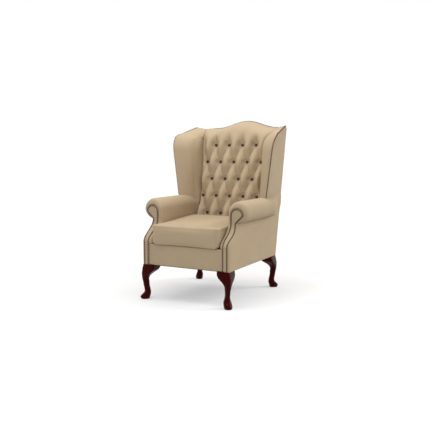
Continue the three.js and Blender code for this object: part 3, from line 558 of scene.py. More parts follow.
MAHOGANY = finish("red_mahogany", mahogany)
BEECH = finish("bare_beech", beech)
print("woods:", MAHOGANY.name, "and", BEECH.name)

# %% [markdown]
# ## Metals and cloths
# The nail heads and buttons are antique bronze: dark lacquer that has worn through to warmer metal on the
# domes. The springs are drawn steel. The deck under the cushion is a close weave, and the cloth under the
# seat is black. The weave is two sets of stripes that pass over and under each other.

# %% The metals


def bronze(place):
    patina = place.noise(420.0, Detail=5.0)
    colour = patina.between(0.38, 0.66).blend((0.022, 0.009, 0.007, 1), (0.048, 0.023, 0.016, 1))
    worn = use_group(place, WEAR_AND_SHADE, Patch=60.0)["Crowns"] * 0.5
    colour = worn.blend(colour, (0.13, 0.075, 0.045, 1))
    return {"Base Color": colour, "Roughness": patina.between(0.3, 0.7, 0.24, 0.42), "Metallic": 0.55}


def steel(place):
    marks = place.noise(160.0, Detail=4.0)
    colour = marks.blend((0.34, 0.34, 0.35, 1), (0.52, 0.52, 0.53, 1))
    return {"Base Color": colour, "Roughness": marks.between(0.3, 0.7, 0.28, 0.42), "Metallic": 1.0}


BRONZE = finish("antique_bronze", bronze)
STEEL = finish("spring_steel", steel)
print("metals:", BRONZE.name, "and", STEEL.name)

# %% The cloths


def weave_group():
    group, given, end = node_group("ShaderNodeTree", "plain_weave", ["Vector", "Threads"], ["Height"])
    axes = wires(group, add(group, "ShaderNodeSeparateXYZ", {"Vector": given["Vector"]}).socket.node)
    across = (axes["X"] * given["Threads"]).maths("SINE")
    along = ((axes["Y"] + axes["Z"]) * given["Threads"]).maths("SINE")
    over = (across * along).maths("GREATER_THAN", 0.0)
    height = across.maths("ABSOLUTE") * over + along.maths("ABSOLUTE") * (1.0 - over)
    feed(group, end, {"Height": height})
    return group


WEAVE = weave_group()


def cloth(name, dark, light, roughness, threads):
    def inputs_at(place):
        height = use_group(place, WEAVE, Threads=threads)["Height"]
        tone = height * place.noise(70.0, Detail=4.0).between(0.3, 0.7, 0.6, 1.0)
        return {"Base Color": tone.blend(dark, light), "Roughness": roughness, "Normal": height.bump(0.0003)}

    return finish(name, inputs_at)


PLATFORM_CLOTH = cloth("platform_lining", (0.30, 0.24, 0.16, 1), (0.46, 0.38, 0.27, 1), 0.9, 2400.0)
DUST_CLOTH = cloth("black_under_cloth", (0.006, 0.006, 0.006, 1), (0.020, 0.020, 0.019, 1), 0.95, 3600.0)
print("cloths:", PLATFORM_CLOTH.name, "and", DUST_CLOTH.name)

# %% [markdown]
# ## Filling the leather
# Leather over fibre has a tight, slightly uneven fullness that a plain loft lacks. A short cloth simulation
# gives it: the skin is filled by pressure while its seams are held, and no point may move further than the
# filling allows. Gravity is off, because the padding carries its own weight.

# %% Filling by simulation, and dressing
FILL_FRAMES = 20
FILL_PRESSURE = 4.0


def fill(piece, held, most):
    """Inflates a piece. For each point, held is 1 where a seam holds the skin and 0 where it is free."""
    start = positions(piece)
    group = piece.vertex_groups.new(name="held")
    for level in np.unique(np.round(held, 2)):
        chosen = np.nonzero(np.round(held, 2) == level)[0].tolist()
        group.add(chosen, float(level), "REPLACE")
    skin = piece.modifiers.new("filling", "CLOTH")
    skin.settings.use_pressure = True
    skin.settings.uniform_pressure_force = FILL_PRESSURE
    skin.settings.vertex_group_mass = "held"
    skin.settings.effector_weights.gravity = 0
    skin.point_cache.frame_end = FILL_FRAMES
    for step in range(1, FILL_FRAMES + 1):
        bpy.context.scene.frame_set(step)
    moved = positions(piece.evaluated_get(bpy.context.evaluated_depsgraph_get())) - start
    length = np.maximum(np.linalg.norm(moved, axis=1, keepdims=True), 1e-9)
    limited = most * np.tanh(length / most)
    piece.modifiers.remove(skin)
    piece.vertex_groups.remove(group)
    set_positions(piece, start + moved * limited / length)
    bpy.context.scene.frame_set(1)
    print(f"{piece.name} filled by up to {limited.max() * 1000:.1f} mm")
    return piece


def dress(piece, material, slot, body, *nodes, fill_share=None):
    """Gives a piece its finish, its place on a body and the nodes that it stands for."""
    piece.data.materials.clear()
    piece.data.materials.append(material)
    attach(piece, body)
    if nodes:
        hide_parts(*nodes)
    print("dressed", piece.name)


def cover_sides(left, node, fill_share=None):
    """Covers a piece of the left side in leather, and its mirror image on the right."""
    right = reflected(left, left.name.replace("left", "right"))
    for piece, side in ((left, "left"), (right, "right")):
        dress(piece, LEATHER, "leather", "chair", f"{node}_{side}", fill_share=fill_share)


# %% [markdown]
# ## The loose cushion
# The cushion is a box of leather over feather-wrapped foam: a top and a bottom panel, and a band round the
# sides. Its top edge is crisp, its lower corners are rounder, and its sides pull in between the corners. It
# is lofted in level rings from bottom to top, and its seams are held while the panels fill.

# %% The cushion's outline
STEP = 0.007  # about the size of a face on a padded piece
CUSHION_CORNER = 0.022
CUSHION_PULL = 0.004
CUSHION_LEAN = 0.009
CUSHION_CROWN = 0.010
CUSHION_RISE = 0.019  # the filling stands higher towards the back
CUSHION_LIP = 0.006  # the front edge hangs this far over the border
LIP_WIDTH = 0.012
CUSHION_FACE = FRONT - 0.008
CUSHION_BACK = cushion_high.y
CUSHION_HALF = cushion_high.x
CUSHION_THICK = CUSHION_TOP - CUSHION_BOTTOM
CUSHION_EDGE = 0.006
CUSHION_FILL = 0.006
SEAM_HELD = 0.005
LOW_CORNER = 0.022
LOW_EDGE = 0.014


def rounded_box(half, face, back, corner, pull):
    """An outline with round corners whose straight sides pull in towards their middle."""
    middle, reach = (face + back) / 2, (back - face) / 2
    centres = np.array([(1, -1), (1, 1), (-1, 1), (-1, -1)]) * (half - corner, reach - corner) + (0, middle)
    places = []
    for index, centre in enumerate(centres):
        angles = (index - 1) * math.pi / 2 + np.linspace(0, math.pi / 2, 8)
        bend = centre + corner * points(np.cos(angles), np.sin(angles))
        outwards = np.array([math.cos(angles[-1]), math.sin(angles[-1])])
        end = centres[(index + 1) % 4] + corner * outwards
        count = int((reach, half)[index % 2] * 2 / STEP)
        shares = np.linspace(0, 1, count)[1:-1, None]
        side = lerp(bend[-1], end, shares) - pull * np.sin(math.pi * shares) * outwards
        places += [bend, side]
    return np.concatenate(places)


def cushion_outline(height, count):
    """The outline at a height, always with the same number of points."""
    top = edge_inset(CUSHION_EDGE, CUSHION_THICK - height)
    side = edge_inset(LOW_CORNER, height) + top
    face = edge_inset(LOW_EDGE, height) + top
    front = CUSHION_FACE + face + CUSHION_LEAN * height / CUSHION_THICK
    outline = rounded_box(CUSHION_HALF - side, front, CUSHION_BACK - face, CUSHION_CORNER, CUSHION_PULL)
    closed = np.vstack([outline, outline[:1]])
    length = np.concatenate([[0], np.cumsum(np.linalg.norm(np.diff(closed, axis=0), axis=1))])
    wanted = np.linspace(0, length[-1], count, endpoint=False)
    x, y = [np.interp(wanted, length, axis) for axis in closed.T]
    return points(x, y, CUSHION_BOTTOM + height)


# %% Loft and fill the cushion


def seat_cushion():
    count = int(4 * (CUSHION_HALF + (CUSHION_BACK - CUSHION_FACE) / 2) / STEP)
    rings = [cushion_outline(level, count) for level in finely_edged(0, CUSHION_THICK, STEP, CUSHION_EDGE)]
    rings[0][:, 2] += GAP
    shares = np.linspace(0, 1, int(CUSHION_HALF / STEP))[1:-1]
    top, under = rings[-1].mean(axis=0), rings[0].mean(axis=0)
    rise = CUSHION_CROWN * np.sin(shares * math.pi / 2)
    crown = [lerp(rings[-1], top, share) + [0, 0, lift] for share, lift in zip(shares, rise)]
    floor = [lerp(rings[0], under, share) for share in shares[::-1]]
    piece = loft("cushion", floor + rings + crown)
    places = positions(piece)
    x, y, z = places.T
    upper = (z - CUSHION_BOTTOM) / CUSHION_THICK
    z += CUSHION_RISE * upper * smooth(y, CUSHION_FACE, CUSHION_BACK)
    z -= CUSHION_LIP * (1 - upper) * (1 - smooth(y, CUSHION_FACE, CUSHION_FACE + LIP_WIDTH))
    set_positions(piece, places)
    middle = (CUSHION_FACE + CUSHION_BACK) / 2
    to_edge = np.maximum(np.abs(x) / CUSHION_HALF, np.abs(y - middle) / (CUSHION_BACK - middle))
    top_seam = np.exp(-(((upper - 1) * CUSHION_THICK / SEAM_HELD) ** 2)) * smooth(to_edge, 0.93, 0.98)
    bottom = 1 - smooth(z, CUSHION_BOTTOM + 0.001, CUSHION_BOTTOM + 0.02)
    return fill(piece, np.maximum(top_seam, bottom), CUSHION_FILL)


dress(seat_cushion(), LEATHER, "leather", "cushion", "seat_cushion", fill_share=0.8)

# %% [markdown]
# ## The buttoned back
# Deep buttoning pulls the leather down to the frame at each button and folds it into pleats between them.
# The relief follows a rule: two families of slanting waves cross, a pit lies where both are at nought, a
# pleat where one is, and a diamond swells where neither is. So it is made with Geometry Nodes, from the
# distances between the buttons, and laid on a smooth pad. Each pleat falls over the one below it, as
# leather is folded by hand.

# %% A smooth pad for the back
CREASES = 32  # rows of faces from one row of buttons to the next
FRAME_FRONT = COVER + GAP + 0.045  # front of the back posts, ahead of the outside back
OUTER_BUTTONS = COLUMN_PITCH * (LONG_ROW - 1) / 2
TOP_PADDING = 0.015
SIDE_TUCK = 0.007
SIDE_FADE = 0.044
BESIDE_BUTTON = 0.005
PLEATS_BELOW = 0.035  # the pleats run this much further down behind the cushion
NECK_ROWS = 16
ROLL_ROWS = 36
CREST_BEND = 0.060
CREST_TREAD = 0.085
CREST_SLOPE = 0.22
CORNER_SLOPE = -0.16


def back_columns(z, shifted):
    """Places across the back: between the outer buttons on the lattice, and past them out to the seam."""
    step = COLUMN_PITCH / CREASES
    inner = np.arange(-OUTER_BUTTONS, OUTER_BUTTONS + step / 2, step) + (step / 2 if shifted else 0)
    sides = np.linspace(0, 1, 15)[1:] ** 0.85
    left, right = lerp(inner[0], -seam_at(z), sides)[::-1], lerp(inner[-1], seam_at(z), sides)
    return np.concatenate([left, inner, right])


def crest_roll(x, start, top, share):
    """The bend over the crest, which leaves the front without a kink and rises to the rear edge."""
    first = np.array([button_plane_at(start), start])
    last = np.array([back_of(top), top])
    lean = np.array([math.sin(BUTTON_LEAN), math.cos(BUTTON_LEAN)])[:, None]
    slope = lerp(CREST_SLOPE, CORNER_SLOPE, smooth(np.abs(x), CREST_HALF_SPAN - 0.04, BODY_HALF))
    rise = np.array([np.ones_like(slope), slope])
    return bezier(first, first + CREST_BEND * lean, last - CREST_TREAD * rise, last, share)


def smooth_back():
    """The pad without its tufts: its outer and inner grid, and each point's level and depth of relief."""
    step = ROW_PITCH / CREASES
    low = spaced(CUSHION_BOTTOM + GAP, LAST_ROW - step, STEP)
    lattice = LAST_ROW + step * np.arange((BUTTON_ROWS - 1) * CREASES + 1)
    outer, inner, level, depth = [], [], [], []

    def add_row(x, y, z, y_behind, z_behind, lift, weight):
        outer.append(points(x, y, z))
        inner.append(points(x, y_behind, z_behind))
        level.append(lift)
        depth.append(weight)

    for k, z in enumerate(np.concatenate([low, lattice])):
        x = back_columns(z, (k - len(low)) % 2 == 1)
        z = np.full(len(x), z)
        plane = button_plane_at(np.maximum(z, FLAT_BELOW))
        add_row(x, plane, z, back_at(z) - FRAME_FRONT - GAP, z, z, np.ones(len(x)))
    for k, share in enumerate(np.linspace(0, 1, NECK_ROWS + 1)[1:]):
        x = back_columns(SHOULDER, k % 2 == 0)
        z = lerp(TOP_ROW, crest_at(x) - CREST_ROLL, share)
        x = x * seam_at(z) / seam_at(SHOULDER) if share < 1 else x
        add_row(x, button_plane_at(z), z, back_at(z) - FRAME_FRONT - GAP, z, z, relief_left(z - TOP_ROW))
    for k, share in enumerate(np.linspace(0, 1, ROLL_ROWS + 1)[1:]):
        x = back_columns(SHOULDER, k % 2 == 0)
        start = crest_at(x) - CREST_ROLL
        x = x * seam_over(share) / seam_at(SHOULDER)
        top = back_top_at(x)
        under = top - TOP_PADDING + GAP
        z_behind = lerp(start, under, min(2 * share, 1))
        y_behind = lerp(back_at(under) - FRAME_FRONT - GAP, back_of(top), max(2 * share - 1, 0))
        lift = start + 3 * CREST_BEND * share
        add_row(x, *crest_roll(x, start, top, share), y_behind, z_behind, lift, relief_left(lift - TOP_ROW))
    return [np.array(rows) for rows in (outer, inner, level, depth)]


# %% [markdown]
# ## The relief as a node tree
# The tree is written out in Python like a formula. Its inputs are the sizes that an upholsterer would chalk
# on the back: the distances between buttons and the depth of the tufts.

# %% Helpers for Geometry Nodes


def grown(carrier, tree, name, **values):
    """Runs a tree on a carrier with these inputs and returns its result as a plain mesh."""
    modifier = carrier.modifiers.new(tree.name, "NODES")
    modifier.node_group = tree
    sockets = {item.name: item.identifier for item in tree.interface.items_tree if item.in_out == "INPUT"}
    for title, value in values.items():
        modifier[sockets[title.replace("_", " ")]] = value
    bpy.context.view_layer.update()
    shown = carrier.evaluated_get(bpy.context.evaluated_depsgraph_get())
    mesh = bpy.data.meshes.new_from_object(shown)
    mesh.name = name
    carrier.modifiers.remove(modifier)
    bpy.data.objects.remove(carrier)
    mesh.polygons.foreach_set("use_smooth", [True] * len(mesh.polygons))
    print(f"{name}: {len(mesh.polygons)} faces from {len(tree.nodes)} nodes")
    return placed(name, mesh)


def attribute(piece, name, values, kind="FLOAT"):
    layer = piece.data.attributes.new(name, kind, "POINT")
    layer.data.foreach_set("value" if kind == "FLOAT" else "vector", np.asarray(values, float).ravel())


def read(tree, name, kind="FLOAT"):
    return add(tree, "GeometryNodeInputNamedAttribute", {"Name": name}, data_type=kind)


# %% The tree that buttons the back


def tuft_tree():
    """Moves each point of a pad forwards by the relief of deep buttoning at its place."""
    sizes = ["Column pitch", "Row pitch", "Top row", "Rows", "Crown", "Pleat", "Fold", "Flare", "Pit"]
    tree, given, end = node_group("GeometryNodeTree", "deep_buttoning", ["Geometry", *sizes], ["Geometry"])
    column_pitch, row_pitch, top_row, rows = [given[size] for size in sizes[:4]]
    crown, pleat, fold, flare, pit_size = [given[size] for size in sizes[4:]]
    place = add(tree, "GeometryNodeInputPosition")
    across = add(tree, "ShaderNodeSeparateXYZ", {0: place}, "X") / column_pitch
    height = read(tree, "level") - top_row
    row = (height.maths("MINIMUM", 0.0) / row_pitch).maths("MAXIMUM", 1.0 - rows)

    def from_crease(phase):
        """The wave across one family of pleats, and the signed distance to its nearest crease."""
        return (phase * math.pi).maths("COSINE").maths("ABSOLUTE"), phase.maths("FRACT") - 0.5

    def lip(wave, offset, way):
        """The overhang of a fold: raised on its upper side and sunk on its lower side."""
        tilt = (offset * (18.0 * way)).maths("MINIMUM", 1.0).maths("MAXIMUM", -1.0)
        return math.e ** (wave * -7.0) * tilt

    one, off_one = from_crease(across + row * 0.5)
    two, off_two = from_crease(across - row * 0.5)
    larger = one.maths("MAXIMUM", two)
    relief = pleat * larger + (one * two) ** 1.15 * (crown - pleat)
    relief = relief + (lip(one, off_one, 1) + lip(two, off_two, -1)) * larger * fold
    x = (off_one + off_two) * (column_pitch * 0.5)
    z = (off_one - off_two) * row_pitch
    pit = (x * x + z * z).maths("SQRT").between(pit_size * 0.4, pit_size * 1.7)
    above = height.between(0.0, flare)
    relief = relief * pit.maths("MAXIMUM", above.maths("MULTIPLY", 4.0, clamp=True))
    relief = crown * (relief / crown).maths("MAXIMUM", 0.0) ** (1.0 - above * 0.85)
    plain = height.between(0.0, flare, kind="SMOOTHSTEP").maths("MAXIMUM", read(tree, "plain"))
    relief = relief * (1.0 - plain) + crown * plain
    side = read(tree, "side")
    relief = relief * (1.0 - side) + read(tree, "rim") * side
    offset = add(tree, "ShaderNodeCombineXYZ", {"Y": relief * read(tree, "depth") * -1.0})
    moved = add(tree, "GeometryNodeSetPosition", {"Geometry": given["Geometry"], "Offset": offset})
    feed(tree, end, {"Geometry": moved})
    return tree


# %% Button the back


def inside_back():
    outer, inner, level, depth = smooth_back()
    piece = closed_sheet("inside_back", outer, inner, slanted=True)
    z, x = level.ravel(), np.abs(outer[..., 0].ravel())
    reach = np.abs(outer[..., 0]).max(axis=1).repeat(outer.shape[1])
    side = smooth(x, np.maximum(reach - SIDE_FADE, OUTER_BUTTONS + BESIDE_BUTTON), reach)
    plain = 1 - smooth(z, FLAT_BELOW - PLEATS_BELOW, LAST_ROW - PLEATS_BELOW)
    tuck = SIDE_TUCK * (1 - np.sqrt(1 - ramp(x, reach - SIDE_TUCK, reach) ** 2))
    rim = lerp(TUFT, seam_rise_at(z), 1 - plain) - tuck
    rest = np.zeros(len(piece.data.vertices) - level.size)
    values = {"level": z, "side": side, "plain": plain, "rim": rim, "depth": depth.ravel()}
    for name, value in values.items():
        attribute(piece, name, np.concatenate([value, rest]))
    sizes = dict(Column_pitch=COLUMN_PITCH, Row_pitch=ROW_PITCH, Top_row=TOP_ROW, Rows=float(BUTTON_ROWS))
    tufts = dict(Crown=TUFT, Pleat=PLEAT, Fold=0.0016, Flare=0.125, Pit=0.017)
    return grown(piece, tuft_tree(), "inside_back", **sizes, **tufts)


dress(inside_back(), LEATHER, "leather", "chair", "inside_back_pad", fill_share=0.9)

# %% [markdown]
# ## The scroll arms
# Each arm is one padded form: a flat inside that rises from the deck, and a thick roll that leans outwards
# over the top. At the front both are drawn round to the rim of the facing board. It is lofted in upright
# sections, each the same distance behind the swept front, so the sections lie close together where the
# leather turns.

# %% The padding of an arm
ROLL_LIP = 0.003
SCROLL_LIP = 0.003
ROLL_NOSE = 0.038
NOSE_POWER = 2.5
WALL_NOSE = 0.021
THIN_FROM = WING_FRONT + 0.048
THIN_LEFT = 0.005
WALL_BACK = FACING_IN + 0.0046  # inner face of the arm post
ARM_CLOSING = 0.034  # length over which the inside arm curves in to the back's seam
ARM_LENGTH = back_of(ROLL_Z) - arm_front_at(ROLL_Z)
BELOW_POINTS = 16


def arm_depth(z, offset):
    """Depth of a section at a height. Sections follow the swept front and end at the raked back."""
    longer = back_of(z) - arm_front_at(z) - ARM_LENGTH
    return arm_front_at(z) + offset + longer * smooth(offset, 0.03, ARM_LENGTH)


def roll_outline(x, z, radius, outer):
    """Over a roll, from the inside at the height of its middle to its underside."""
    over = np.linspace(math.pi, 0, 28)
    below = np.linspace(0, -math.pi / 2, BELOW_POINTS)[1:]
    top = points(x + np.where(np.cos(over) > 0, outer, radius) * np.cos(over), z + radius * np.sin(over))
    return top, points(x + outer * np.cos(below), z + radius * np.sin(below))


def arm_section(offset):
    """Up the inside wall, over the roll and back down inside, morphed from the facing's rim."""
    behind = ramp(offset, ROLL_LIP, ROLL_LIP + ROLL_NOSE)
    swell = (1 - (1 - behind) ** NOSE_POWER) ** (1 / NOSE_POWER)
    turned = math.sqrt(1 - (1 - min(max(offset - ROLL_LIP, 0) / WALL_NOSE, 1)) ** 2)
    thin = smooth(float(arm_depth(ROLL_Z, offset)), THIN_FROM, back_of(ROLL_BOTTOM))
    outer = max(ROLL_RADIUS * (1 - thin), THIN_LEFT)
    roll = np.concatenate(roll_outline(ROLL_X, ROLL_Z, ROLL_RADIUS, outer))
    rim = SCROLL_RADIUS + SCROLL_LIP
    rim_top, _ = roll_outline(SCROLL_X, SCROLL_Z, rim, rim)
    neck = np.array([FACING_OUT + SCROLL_LIP, ROLL_BOTTOM])
    rim_below = lerp(rim_top[-1], neck, np.linspace(0, 1, BELOW_POINTS)[1:, None])
    over = lerp(np.concatenate([rim_top, rim_below]), roll, swell)
    heights = spaced(CUSHION_BOTTOM + GAP, ROLL_Z, STEP)[:-1]
    joined = smooth(heights, ROLL_Z - 0.10, ROLL_Z)
    wall = lerp(FACING_IN - GAP, SEAT_HALF, turned)
    inside = points(lerp(wall, over[0, 0], joined), lerp(heights, heights * over[0, 1] / ROLL_Z, joined))
    down = points(WALL_BACK, np.linspace(over[-1, 1] + 0.004, CUSHION_BOTTOM + GAP, 6))
    x, z = np.concatenate([inside, over, down]).T
    y = arm_depth(z, offset)
    meets = button_plane_at(np.maximum(z, FLAT_BELOW)) - seam_rise_at(z)
    closing = smooth(y, meets - ARM_CLOSING, meets + 0.004) * (x < SEAT_HALF + 0.02)
    return points(lerp(x, np.minimum(x, seam_at(z) + 0.002), closing), y, z)


def arm_pad():
    nose = ROLL_LIP + ROLL_NOSE * np.linspace(0, 1, 18) ** 1.8
    offsets = np.concatenate([nose[:-1], spaced(ROLL_LIP + ROLL_NOSE, ARM_LENGTH, STEP)])
    rings = [arm_section(offset) for offset in offsets]
    hidden = rings[0] + [0, FACING_THICK + GAP - ROLL_LIP, 0]
    return loft("arm_left", [hidden] + rings)


cover_sides(arm_pad(), "arm_pad", 0.9)

# %% [markdown]
# ## The facing boards
# A thin board covers the raw front of each arm. It is wrapped in leather and edged with nails, and its
# outline is what gives a scroll arm its name: a straight strip, a neck that flares out, and a round head.

# %% The facing of an arm
FACING_SOFT = 0.004


def facing_edges_at(z):
    half = np.sqrt(np.maximum(SCROLL_RADIUS**2 - np.maximum(z - SCROLL_Z, 0) ** 2, 0))
    neck = lerp(facing_out_at(z), SCROLL_X + SCROLL_RADIUS, ramp(z, ROLL_BOTTOM, SCROLL_Z))
    return np.where(z > SCROLL_Z, SCROLL_X - half, FACING_IN), np.where(z > SCROLL_Z, SCROLL_X + half, neck)


def arm_facing():
    head = SCROLL_Z + SCROLL_RADIUS * np.sin(np.linspace(0, math.pi / 2, 14)[1:-1])
    z = np.concatenate([spaced(BODY_BOTTOM, SCROLL_Z, 0.005), head, [SCROLL_TOP - 0.0002]])[:, None]
    inner, outer = facing_edges_at(z)
    x = inner + (outer - inner) * (np.sin(np.linspace(-math.pi / 2, math.pi / 2, 14)) / 2 + 0.5)
    near = np.minimum(np.minimum(x - inner, outer - x), np.minimum(z - BODY_BOTTOM, SCROLL_TOP - z))
    front = arm_front_at(z)
    sheets = points(x, front + edge_inset(FACING_SOFT, near), z), points(x, front + FACING_THICK, z)
    return sharpened(closed_sheet("facing_left", *sheets), 50)


cover_sides(arm_facing(), "arm_facing")

# %% [markdown]
# ## The wings
# A wing is padded on the inside and has a roll along its front edge, which ends at a line of nails on the
# outside. The roll runs up the front, round the top and back to the ear. Each section of the pad stands
# square to that edge, and reaches from the nails over the roll and across the lining to the seam of the
# inside back.

# %% The nailed edge of a wing
NAILED_AHEAD = 0.008  # the leather is nailed this far round the front corner of the board
WING_ROLL = 0.0110
EAR_ROLL = 0.004
ROLL_PROUD = 0.001
ROLL_BACK = 0.033
EAR_BACK = 0.004
LINING_LOW = 0.038
LINING_HIGH = 0.030
LINING_EAR = 0.012
LINING_CROWN = 0.004
SOFT_ROLL = 0.048  # length over which the roll dies into the lining
SOFT_EAR = 0.012
WING_BOTTOM = ROLL_Z + 0.004
SEAM_DEPTH = 0.010  # the lining runs this far behind the seam's edge
BEND_STATIONS = 24
EAR_STATIONS = 18


def wing_stations():
    """Depth, height and the way the roll faces along the nailed edge, and where its parts end."""
    upright = [(WING_FRONT, z, -1.0, 0.0) for z in spaced(WING_BOTTOM, ROUND_START, STEP)[:-1]]
    angles = np.linspace(0, math.pi / 2, BEND_STATIONS)[:-1]
    y = WING_FRONT + ROUND_DEPTH * (1 - np.cos(angles))
    z = ROUND_START + ROUND_HEIGHT * np.sin(angles)
    bend = points(y, z, -np.cos(angles) * ROUND_HEIGHT, np.sin(angles) * ROUND_DEPTH)
    start = np.array([WING_FRONT + ROUND_DEPTH, ROUND_START + ROUND_HEIGHT])
    ear = np.array([EAR_Y, SHOULDER])
    corner = np.array([back_of(SHOULDER), SHOULDER - CORNER_DROP])
    slope = [(*lerp(start, ear, share), -0.32, 1.0) for share in np.linspace(0, 1, BEND_STATIONS)[:-1]]
    top = [(*lerp(ear, corner, share), 0.05, 1.0) for share in np.linspace(0, 1, EAR_STATIONS)]
    stations = np.concatenate([upright, bend, slope, top])
    stations[:, 2:] = unit(stations[:, 2:])
    for _ in range(2):
        stations[1:-1] = (stations[:-2] + 2 * stations[1:-1] + stations[2:]) / 4
    ends = np.cumsum([len(upright), len(bend), len(slope)])
    ahead = NAILED_AHEAD * (1 - smooth(np.arange(len(stations)), ends[1], ends[2] + 6))
    stations[:, :2] += ahead[:, None] * stations[:, 2:]
    return stations, ends


STATIONS, (UPRIGHT_END, BEND_END, SLOPE_END) = wing_stations()
LAST_STATION = len(STATIONS) - 1
print(len(STATIONS), "stations along the edge of a wing")


def seam_opposite(index):
    """The place on the inside back's side seam that a station's section ends at."""
    low = SHOULDER - CREST_ROLL
    if index < BEND_END:
        z = STATIONS[index, 1]
        if index >= UPRIGHT_END:
            z = lerp(ROUND_START, low, (index - UPRIGHT_END) / (BEND_END - UPRIGHT_END))
        rise = seam_rise_at(z) * relief_left(z - TOP_ROW) - SEAM_DEPTH
        return np.array([seam_at(z) + GAP, button_plane_at(z) - rise, z])
    share = (index - BEND_END) / (LAST_STATION - BEND_END)
    x = seam_over(share)
    y, z = crest_roll(np.array([x]), np.array([low]), np.array([back_top_at(x)]), share)
    left = relief_left(low + 3 * CREST_BEND * share - TOP_ROW)
    rise = seam_rise_at(SHOULDER) * left - SEAM_DEPTH * (1 - share)
    return np.array([x + GAP, y[0] - rise, z[0]])


# %% The padding of a wing
TURNS = np.linspace(0, 1, 30)[:, None]
ACROSS = np.linspace(0, 1, 20)[1:, None]


def wing_section(index, y, z, ahead, up):
    """From the nails over the roll, across the lining to the seam and back inside."""
    facing = np.array([0, ahead, up])
    to_ear = smooth(index, BEND_END, LAST_STATION - 11)
    edge = np.array([float(wing_spread_at(z)), y, z])
    edge[0] = lerp(edge[0], BODY_HALF, ramp(index, SLOPE_END, LAST_STATION))
    depth = lerp(WING_ROLL, EAR_ROLL, ramp(index, BEND_END, SLOPE_END))
    back = lerp(ROLL_BACK, EAR_BACK, to_ear)
    inner = BODY_HALF - lerp(LINING_LOW, LINING_HIGH, ramp(z, ARM_TOP, WING_WIDEST))
    inner = lerp(inner, edge[0] - LINING_EAR, smooth(index, SLOPE_END - 10, LAST_STATION))
    end = seam_opposite(index)
    rolled = np.array([inner, *(edge[1:] - back * facing[1:])])
    joint = lerp(rolled, end, lerp(SOFT_ROLL, SOFT_EAR, to_ear) / np.linalg.norm(end - rolled))
    start = edge + [ROLL_PROUD, 0, 0]
    first = start + 2.15 * depth * facing
    second = rolled + (1.55 * depth + 0.2 * back) * facing
    roll = bezier(start, first, second, joint, TURNS)
    swell = LINING_CROWN * np.sin(math.pi * ACROSS)
    lining = lerp(joint, end, ACROSS) + swell * np.array([-abs(ahead), 0, up])
    inside = np.array([end + [0.012, 0.020, -0.004], edge + [-COVER - 0.004, 0, 0] - facing * 0.004])
    ring = np.concatenate([roll, lining, inside])
    ring[:, 0] = np.minimum(ring[:, 0], max(edge[0], BODY_HALF) + ROLL_PROUD)
    ring[:, 1] = np.minimum(ring[:, 1], back_of(ring[:, 2]) - COVER - GAP)
    return ring


wing_left = loft("wing_left", [wing_section(index, *station) for index, station in enumerate(STATIONS)])
cover_sides(wing_left, "wing_pad", 0.9)

# %% [markdown]
# ## The outside covers
# The outside of each wing is a smooth panel that runs down over the arm's roll. The outside arm, the
# outside back and the front border are flat panels with a little wadding under them, so they are slightly
# pillowed and their edges are soft.

# %% The outside of a wing
BLEND = 0.016
DRAWN_IN = 0.045  # width beside the nails over which the leather is drawn in
DRAWN_RISE = 0.005


def wing_outside():
    low = [(STATIONS[0, 0], z) for z in spaced(ROLL_BOTTOM - GAP, WING_BOTTOM, 0.004)[:-1]]
    edge_y, edge_z = np.concatenate([low, STATIONS[:SLOPE_END, :2]]).T[..., None]
    shares = np.linspace(0, 1, 44)
    y = edge_y + (back_of(edge_z) - edge_y) * shares
    z = edge_z - CORNER_DROP * shares * smooth(edge_z, SHOULDER - 0.09, SHOULDER)
    plane = lerp(wing_spread_at(edge_z), BODY_HALF, shares)
    plane = np.where(z < ARM_TOP, lerp(wing_spread_at(ARM_TOP), BODY_HALF, shares), plane)
    thin = smooth(y, THIN_FROM, back_of(ROLL_BOTTOM))
    outer = np.maximum((ROLL_RADIUS + 0.0006) * (1 - thin), THIN_LEFT)
    height = np.clip((z - ROLL_Z) / ROLL_RADIUS, -1, 1)
    roll = ROLL_X + outer * np.sqrt(1 - height**2) - np.maximum(z - ARM_TOP, 0)
    mix = np.clip(0.5 + (plane - roll) / (2 * BLEND), 0, 1)
    joined = lerp(roll, plane, mix) + BLEND * mix * (1 - mix)
    x = lerp(np.maximum(roll, BODY_HALF - 0.001), joined, smooth(z, ROLL_Z - 0.035, ROLL_Z + 0.010))
    rise = DRAWN_RISE * smooth(z, ARM_TOP - 0.02, ARM_TOP + 0.03) * smooth((y - edge_y) / DRAWN_IN, 0, 1)
    sheet = points(x + rise * (1 - smooth(shares, 0.5, 1)), y, z)
    return sharpened(closed_sheet("wing_cover_left", sheet, sheet - [COVER, 0, 0]), 60)


cover_sides(wing_outside(), "outside_wing", 1.0)

# %% The outside of an arm
PILLOW = 0.003
SOFT_EDGE = 0.005
PANEL_STEP = 0.008
ARM_PANEL_SETBACK = 0.002
RETURN_DEPTH = 0.009


def from_rim(rows, columns):
    """How far each place of a grid is from its rim, 0 at the rim and 1 in the middle."""
    u, v = np.linspace(-1, 1, rows)[:, None], np.linspace(-1, 1, columns)
    return np.sqrt(np.sqrt(1 - u**2)) * np.sqrt(np.sqrt(1 - v**2))


